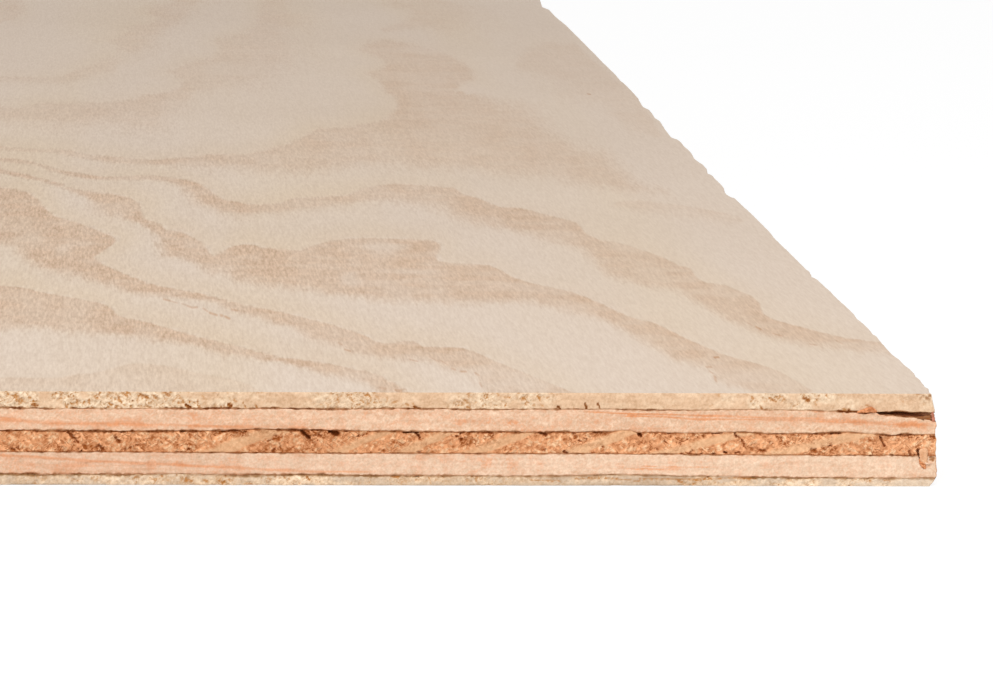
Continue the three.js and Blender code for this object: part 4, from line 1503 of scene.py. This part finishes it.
def with_flecks(tree, wood_colour, stage):
    """The face's colour with its resin flecks, each placed by where it shows in the camera's frame."""
    place = tree.vector("MULTIPLY", {0: tree.place(), 1: (1.0, 1 / FLECK_STRETCH, 0.0)})
    shown = 0.0
    for start_x, start_y, end_x, end_y, half, depth in FLECKS:
        pixels = [(start_x, start_y), (end_x, end_y), (start_x + half, start_y)]
        start, end, side = on_face(pixels, stage) * MM
        run = end - start
        fleck = tree.add("ShaderNodeGroup", {
            "Place": place, "Start": (start[0], start[1] / FLECK_STRETCH, 0.0),
            "Run": (run[0], run[1] / FLECK_STRETCH, 0.0), "Width": float(np.hypot(*(side - start)))},
            node_tree=fleck_group())
        shown = tree.math("MAXIMUM", shown, tree.times(fleck.outputs["Mask"], depth))
    return tree.mix(shown, wood_colour, tree.stain(wood_colour, FLECK_STAIN))


def wood_group():
    """Wood by its masks: latewood with ragged fibre edges, torn end grain, pits and glue lines."""
    name = "Sawn Veneer"
    if name in bpy.data.node_groups:
        return bpy.data.node_groups[name]
    inputs = [("Grain", "Vector"), ("Earlywood", "Color"), ("Latewood", "Color"), ("End Torn", "Color"),
              ("End Smooth", "Color"), ("Pit", "Color"), ("Glue Line", "Color"), ("Ragged", "Float"),
              ("Speckle", "Float"), ("Grit", "Float")]
    outputs = [("Color", "Color"), ("Height", "Float"), ("Dull", "Float")]
    group, tree, given, out = new_group(name, inputs, outputs)
    plus, minus, times, mix = tree.plus, tree.minus, tree.times, tree.mix
    step, noisy, swing, mask = tree.step, tree.noise, tree.swing, tree.mask
    place = tree.place()
    fibres = tree.vector("MULTIPLY", {0: place, 1: given["Grain"]})
    speckle, wiggle, blotch = swing(fibres, 1.0, 3.0, 0.6), swing(fibres, 0.25), noisy(fibres, 0.07)
    grit, slow = swing(place, 2400.0, 3.0, 0.65), swing(place, 14.0)

    # Latewood by its level and strength, in long grain and on the faces
    ragged = plus(times(speckle, 2.0), times(wiggle, 2.6))
    level = plus(mask("level"), times(ragged, given["Ragged"]))
    late = times(step(level, -1.0, 1.0), mask("strength"))
    late = times(late, step(blotch, 0.3, 0.7, 0.78, 1.08))
    late = times(late, step(noisy(place, 85.0, 3.0), 0.36, 0.64, 0.74, 1.16))
    patches = step(noisy(fibres, 0.012), 0.4, 0.7)
    early = mix(patches, given["Earlywood"], tree.stain(given["Earlywood"], PATCH_STAIN))
    early = mix(mask("tint"), early, tree.stain(early, YELLOW_TINT))
    side = mix(late, early, given["Latewood"])
    depth = times(mask("fibre"), given["Speckle"])
    depth = times(plus(times(late, 0.7), 0.5), depth)
    tone = plus(times(mask("tone"), TONE_DEPTH), times(slow, 0.08))
    tone = minus(tone, times(speckle, depth))
    side = tree.brighter(side, plus(tone, times(grit, given["Grit"])))

    # Torn fibres, in long grain and in end grain: painted highlights on the chips and painted shade in the
    # crevices
    fibre = tree.add("ShaderNodeGroup", {"Place": place}, node_tree=fibre_group()).outputs
    torn = mask("torn")
    crevice, chips = times(fibre["Crevice"], torn), times(fibre["Chips"], torn)
    side = tree.brighter(side, times(chips, 0.55))
    side = mix(crevice, side, given["Latewood"])
    end = mix(step(level, -1.0, 1.0), given["End Torn"], given["End Smooth"])
    end_tone = plus(times(mask("tone"), TONE_DEPTH), times(grit, 0.5))
    end_tone = plus(end_tone, times(chips, 0.78))
    end_tone = minus(end_tone, times(tree.math("ABSOLUTE", chips), 0.14))
    shown = mix(mask("end"), side, tree.brighter(end, end_tone))

    # Pits, partly painted shade in hollows and cracks, and glue with the stain around it
    broken = plus(times(grit, 1.1), times(crevice, mask("end")))
    pit = step(plus(mask("pit"), broken), 0.15, 1.2)
    glue = times(mask("glue"), plus(times(grit, 1.6), 1.0), clamp=True)
    shown = mix(times(pit, 0.9), shown, given["Pit"])
    shown = mix(times(glue, 2.0, clamp=True), shown, tree.stain(shown, GLUE_STAIN))
    tree.feed(out["Color"], mix(times(glue, glue), shown, given["Glue Line"]))
    tree.feed(out["Dull"], tree.math("MAXIMUM", pit, glue, clamp=True))
    relief = times(minus(chips, times(crevice, 0.8)), mask("end"))
    tree.feed(out["Height"], plus(speckle, relief))
    return group


# ---- materials

# The shader's specular level of bare wood
SHEEN_OF_WOOD = 0.2
# How closely the fibres follow each other across the grain, and along it
FIBRES_ACROSS, FIBRES_ALONG = 2000.0, 170.0


def wood_material(name, colours, grain, keys, *, ragged, speckle, grit, relief, roughness, stage=None):
    """A veneer's material: the shared wood group with its own colours, and a fine bump.

    The keys name its earlywood, latewood, torn end grain, smooth end grain, pits and glue line. With the
    stage's settings it gets the face's resin flecks.
    """
    material = bpy.data.materials.new(name)
    tree = bare_tree(material)
    fibres = [FIBRES_ACROSS] * 3
    fibres["XYZ".index(grain)] = FIBRES_ALONG
    sockets = ("Earlywood", "Latewood", "End Torn", "End Smooth", "Pit", "Glue Line")
    own = {socket: (*getattr(colours, key), 1.0) for socket, key in zip(sockets, keys)}
    own.update({"Grain": fibres, "Ragged": ragged, "Speckle": speckle, "Grit": grit})
    wood = tree.add("ShaderNodeGroup", node_tree=wood_group())
    for socket, value in own.items():
        wood.inputs[socket].default_value = value
    bump = tree.add("ShaderNodeBump", {"Strength": 1.0, "Distance": relief * MM,
                                       "Height": wood.outputs["Height"]})
    shown = with_flecks(tree, wood.outputs["Color"], stage) if stage else wood.outputs["Color"]
    dull = tree.times(wood.outputs["Dull"], 1 - roughness)
    shader = tree.add("ShaderNodeBsdfPrincipled", {
        "Base Color": shown, "Roughness": tree.plus(dull, roughness),
        "Specular IOR Level": SHEEN_OF_WOOD, "Normal": bump.outputs["Normal"]})
    tree.add("ShaderNodeOutputMaterial", {"Surface": shader.outputs["BSDF"]})
    return material


# ---- operators

def finish_piece(piece, material, node=None):
    """Gives a piece its material, its body and what it stands for."""
    piece.data.materials.append(material)
    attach(piece, "root")
    if node:
        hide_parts(node)


def add_veneer(context, layer, name, slot, label, keys, **finish):
    """One veneer with its own material. The crossbands' grain runs along X, and the others' along Y."""
    scene = context.scene
    piece = build_veneer(layer, name, scene)
    grain = "X" if layer in (LOWER, UPPER) else "Y"
    material = wood_material(label, scene.plywood_colours, grain, keys, **finish)
    finish_piece(piece, material, LAYERS[layer])


class PLYWOOD_OT_face_veneer(bpy.types.Operator):
    """Build the sanded face veneer with its growth rings and torn end grain"""

    bl_idname = "plywood.face_veneer"
    bl_label = "Face Veneer"

    def execute(self, context):
        add_veneer(context, FACE, "sanded_face_veneer", "face_wood", "Sanded Face",
                   ("face_early", "face_late", "face_end_torn", "face_end_smooth", "pale_pit", "glue"),
                   ragged=0.5, speckle=0.65, grit=0.12, relief=0.06, roughness=0.62,
                   stage=context.scene.plywood_stage)
        return {"FINISHED"}


class PLYWOOD_OT_crossbands(bpy.types.Operator):
    """Build the two crossbands, each with its own earlywood"""

    bl_idname = "plywood.crossbands"
    bl_label = "Crossbands"

    def execute(self, context):
        for layer, name, early in ((LOWER, "lower_crossband_veneer", "lower_early"),
                                   (UPPER, "upper_crossband_veneer", "cross_early")):
            add_veneer(context, layer, name, "crossband_wood", f"Crossband {layer}",
                       (early, "cross_late", "core_torn", "core_smooth", "pale_pit", "glue"),
                       ragged=0.5, speckle=0.25, grit=0.5, relief=0.04, roughness=0.7)
        return {"FINISHED"}


class PLYWOOD_OT_loose_fibres(bpy.types.Operator):
    """Build the loose splinter and the torn fibres, each as a closed sliver in its own colour"""

    bl_idname = "plywood.loose_fibres"
    bl_label = "Loose Fibres"

    def execute(self, context):
        for number, (name, (tint, torn, thickness, spine)) in enumerate(SLIVERS.items()):
            sliver = build_sliver(name, spine, thickness, torn, 21 + 5 * number)
            material = wood_material(name.replace("_", " ").title(), context.scene.plywood_colours, "X",
                                     (tint, "cross_late", tint, tint, "dark_pit", "glue"),
                                     ragged=0.5, speckle=0.4, grit=0.6, relief=0.05, roughness=0.7)
            finish_piece(sliver, material)
        return {"FINISHED"}


class PLYWOOD_OT_core_veneer(bpy.types.Operator):
    """Build the core veneer with its slanting rings and torn earlywood"""

    bl_idname = "plywood.core_veneer"
    bl_label = "Core Veneer"

    def execute(self, context):
        add_veneer(context, CORE, "torn_core_veneer", "core_wood", "Torn Core",
                   ("core_smooth", "core_torn", "core_torn", "core_smooth", "dark_pit", "glue"),
                   ragged=0.4, speckle=0.3, grit=0.4, relief=0.07, roughness=0.75)
        return {"FINISHED"}


class PLYWOOD_OT_back_veneer(bpy.types.Operator):
    """Build the thin back veneer that the sheet lies on"""

    bl_idname = "plywood.back_veneer"
    bl_label = "Back Veneer"

    def execute(self, context):
        add_veneer(context, BACK, "unsanded_back_veneer", "back_wood", "Unsanded Back",
                   ("back_early", "back_late", "face_end_torn", "back_end", "pale_pit", "back_glue"),
                   ragged=1.0, speckle=0.4, grit=0.3, relief=0.06, roughness=0.75)
        return {"FINISHED"}


class PLYWOOD_OT_stage(bpy.types.Operator):
    """Set up the floor, the sky, the key lamp and the camera"""

    bl_idname = "plywood.stage"
    bl_label = "Stage"

    def execute(self, context):
        stage = context.scene.plywood_stage
        build_floor()
        build_world(stage)
        build_lamp(stage)
        build_camera(stage)
        context.scene.view_settings.view_transform = "Standard"
        return {"FINISHED"}


# ---- stage

# Half the floor's side, in metres
FLOOR_REACH = 60.0
# The floor's colour to the object, and its colour and glow to the camera
FLOOR_GREY = (0.85, 0.85, 0.85, 1)
SHADOW_GREY = (0.16, 0.16, 0.16, 1)
FLOOR_GLOW = 0.88
WHITE = (1, 1, 1, 1)
# The key lamp's place and aim, in millimetres from the face's front right corner, and its size in metres
LAMP_PLACE = (-200.0, -1300.0, 1500.0)
LAMP_TARGET = (-100.0, 150.0, 0.0)
LAMP_SIZE = (1.0, 0.8)


def build_floor():
    """A plain pale floor: bright to the camera, with a faint shadow under the sheet."""
    corners = np.array([[-1, -1], [1, -1], [1, 1], [-1, 1]]) * FLOOR_REACH / MM
    points = np.column_stack([corners, np.full(4, BOTTOM)])
    floor = new_mesh("studio_floor", points, np.array([[0, 1, 2, 3]]), np.zeros((0, 3), int))
    material = bpy.data.materials.new("Studio Floor")
    tree = bare_tree(material)
    to_others = tree.add("ShaderNodeBsdfDiffuse", {"Color": FLOOR_GREY})
    shadowed = tree.add("ShaderNodeBsdfDiffuse", {"Color": SHADOW_GREY})
    bright = tree.add("ShaderNodeEmission", {"Color": WHITE, "Strength": FLOOR_GLOW})
    to_camera = tree.add("ShaderNodeAddShader", {0: shadowed.outputs[0], 1: bright.outputs[0]})
    seen = tree.add("ShaderNodeLightPath").outputs["Is Camera Ray"]
    both = tree.add("ShaderNodeMixShader", {0: seen, 1: to_others.outputs[0], 2: to_camera.outputs[0]})
    tree.add("ShaderNodeOutputMaterial", {"Surface": both.outputs[0]})
    floor.data.materials.append(material)


def build_world(stage):
    """An even sky that is white to the camera and in reflections."""
    world = bpy.data.worlds.new("Studio")
    tree = bare_tree(world)
    light = tree.add("ShaderNodeBackground", {"Color": WHITE, "Strength": stage.sky})
    white = tree.add("ShaderNodeBackground", {"Color": WHITE, "Strength": 1.0})
    rays = tree.add("ShaderNodeLightPath").outputs
    seen = tree.math("MAXIMUM", rays["Is Camera Ray"], rays["Is Glossy Ray"])
    seen = tree.math("MAXIMUM", seen, rays["Is Transmission Ray"])
    both = tree.add("ShaderNodeMixShader", {0: seen, 1: light.outputs[0], 2: white.outputs[0]})
    tree.add("ShaderNodeOutputWorld", {"Surface": both.outputs[0]})
    bpy.context.scene.world = world


def build_lamp(stage):
    """A soft key lamp high in front of the sheet."""
    lamp = bpy.data.lights.new("key_lamp", "AREA")
    lamp.shape = "RECTANGLE"
    lamp.size, lamp.size_y = LAMP_SIZE
    lamp.energy = stage.key
    holder = bpy.data.objects.new("key_lamp", lamp)
    corner = np.array([RIGHT, FRONT, TOP])
    place, target = Vector((corner + LAMP_PLACE) * MM), Vector((corner + LAMP_TARGET) * MM)
    turn = (target - place).to_track_quat("-Z", "Y").to_matrix().to_4x4()
    holder.matrix_world = Matrix.Translation(place) @ turn
    bpy.context.scene.collection.objects.link(holder)


def build_camera(stage):
    """The camera low in front of the front right corner."""
    camera = bpy.data.cameras.new("camera")
    camera.sensor_fit = "HORIZONTAL"
    camera.sensor_width = SENSOR_WIDTH
    camera.lens = stage.camera_lens
    holder = bpy.data.objects.new("camera", camera)
    right, up, forward = camera_axes(stage)
    turn = Matrix([[right[n], up[n], -forward[n]] for n in range(3)]).to_4x4()
    holder.matrix_world = Matrix.Translation(Vector(camera_place(stage) * MM)) @ turn
    bpy.context.scene.collection.objects.link(holder)
    bpy.context.scene.camera = holder


# ---- panel and registration

class PLYWOOD_PT_panel(bpy.types.Panel):
    """Lists the sheet's parts."""

    bl_idname = "PLYWOOD_PT_panel"
    bl_label = "Plywood Sheet"
    bl_space_type = "VIEW_3D"
    bl_region_type = "UI"
    bl_category = "Plywood"

    def draw(self, context):
        """One button for each operator, then the settings."""
        for operator in OPERATORS:
            self.layout.operator(operator.bl_idname)
        for cls, place in SETTINGS:
            for key in cls.__annotations__:
                self.layout.prop(getattr(context.scene, place), key)


OPERATORS = (PLYWOOD_OT_stage, PLYWOOD_OT_back_veneer, PLYWOOD_OT_crossbands, PLYWOOD_OT_loose_fibres,
             PLYWOOD_OT_core_veneer, PLYWOOD_OT_face_veneer)
SETTINGS = ((PlywoodEdge, "plywood_edge"), (PlywoodDamage, "plywood_damage"),
            (PlywoodColours, "plywood_colours"), (PlywoodStage, "plywood_stage"))


def register():
    """Registers the settings, the operators and the panel."""
    for cls, place in SETTINGS:
        bpy.utils.register_class(cls)
        setattr(bpy.types.Scene, place, PointerProperty(type=cls))
    for cls in (*OPERATORS, PLYWOOD_PT_panel):
        bpy.utils.register_class(cls)


def unregister():
    """Removes what register added."""
    for cls in (PLYWOOD_PT_panel, *reversed(OPERATORS)):
        bpy.utils.unregister_class(cls)
    for cls, place in reversed(SETTINGS):
        delattr(bpy.types.Scene, place)
        bpy.utils.unregister_class(cls)


def main():
    """Builds everything."""
    register()
    bpy.ops.plywood.stage()
    bpy.ops.plywood.back_veneer()
    bpy.ops.plywood.crossbands()
    bpy.ops.plywood.loose_fibres()
    bpy.ops.plywood.core_veneer()
    bpy.ops.plywood.face_veneer()


if __name__ == "__main__":
    main()
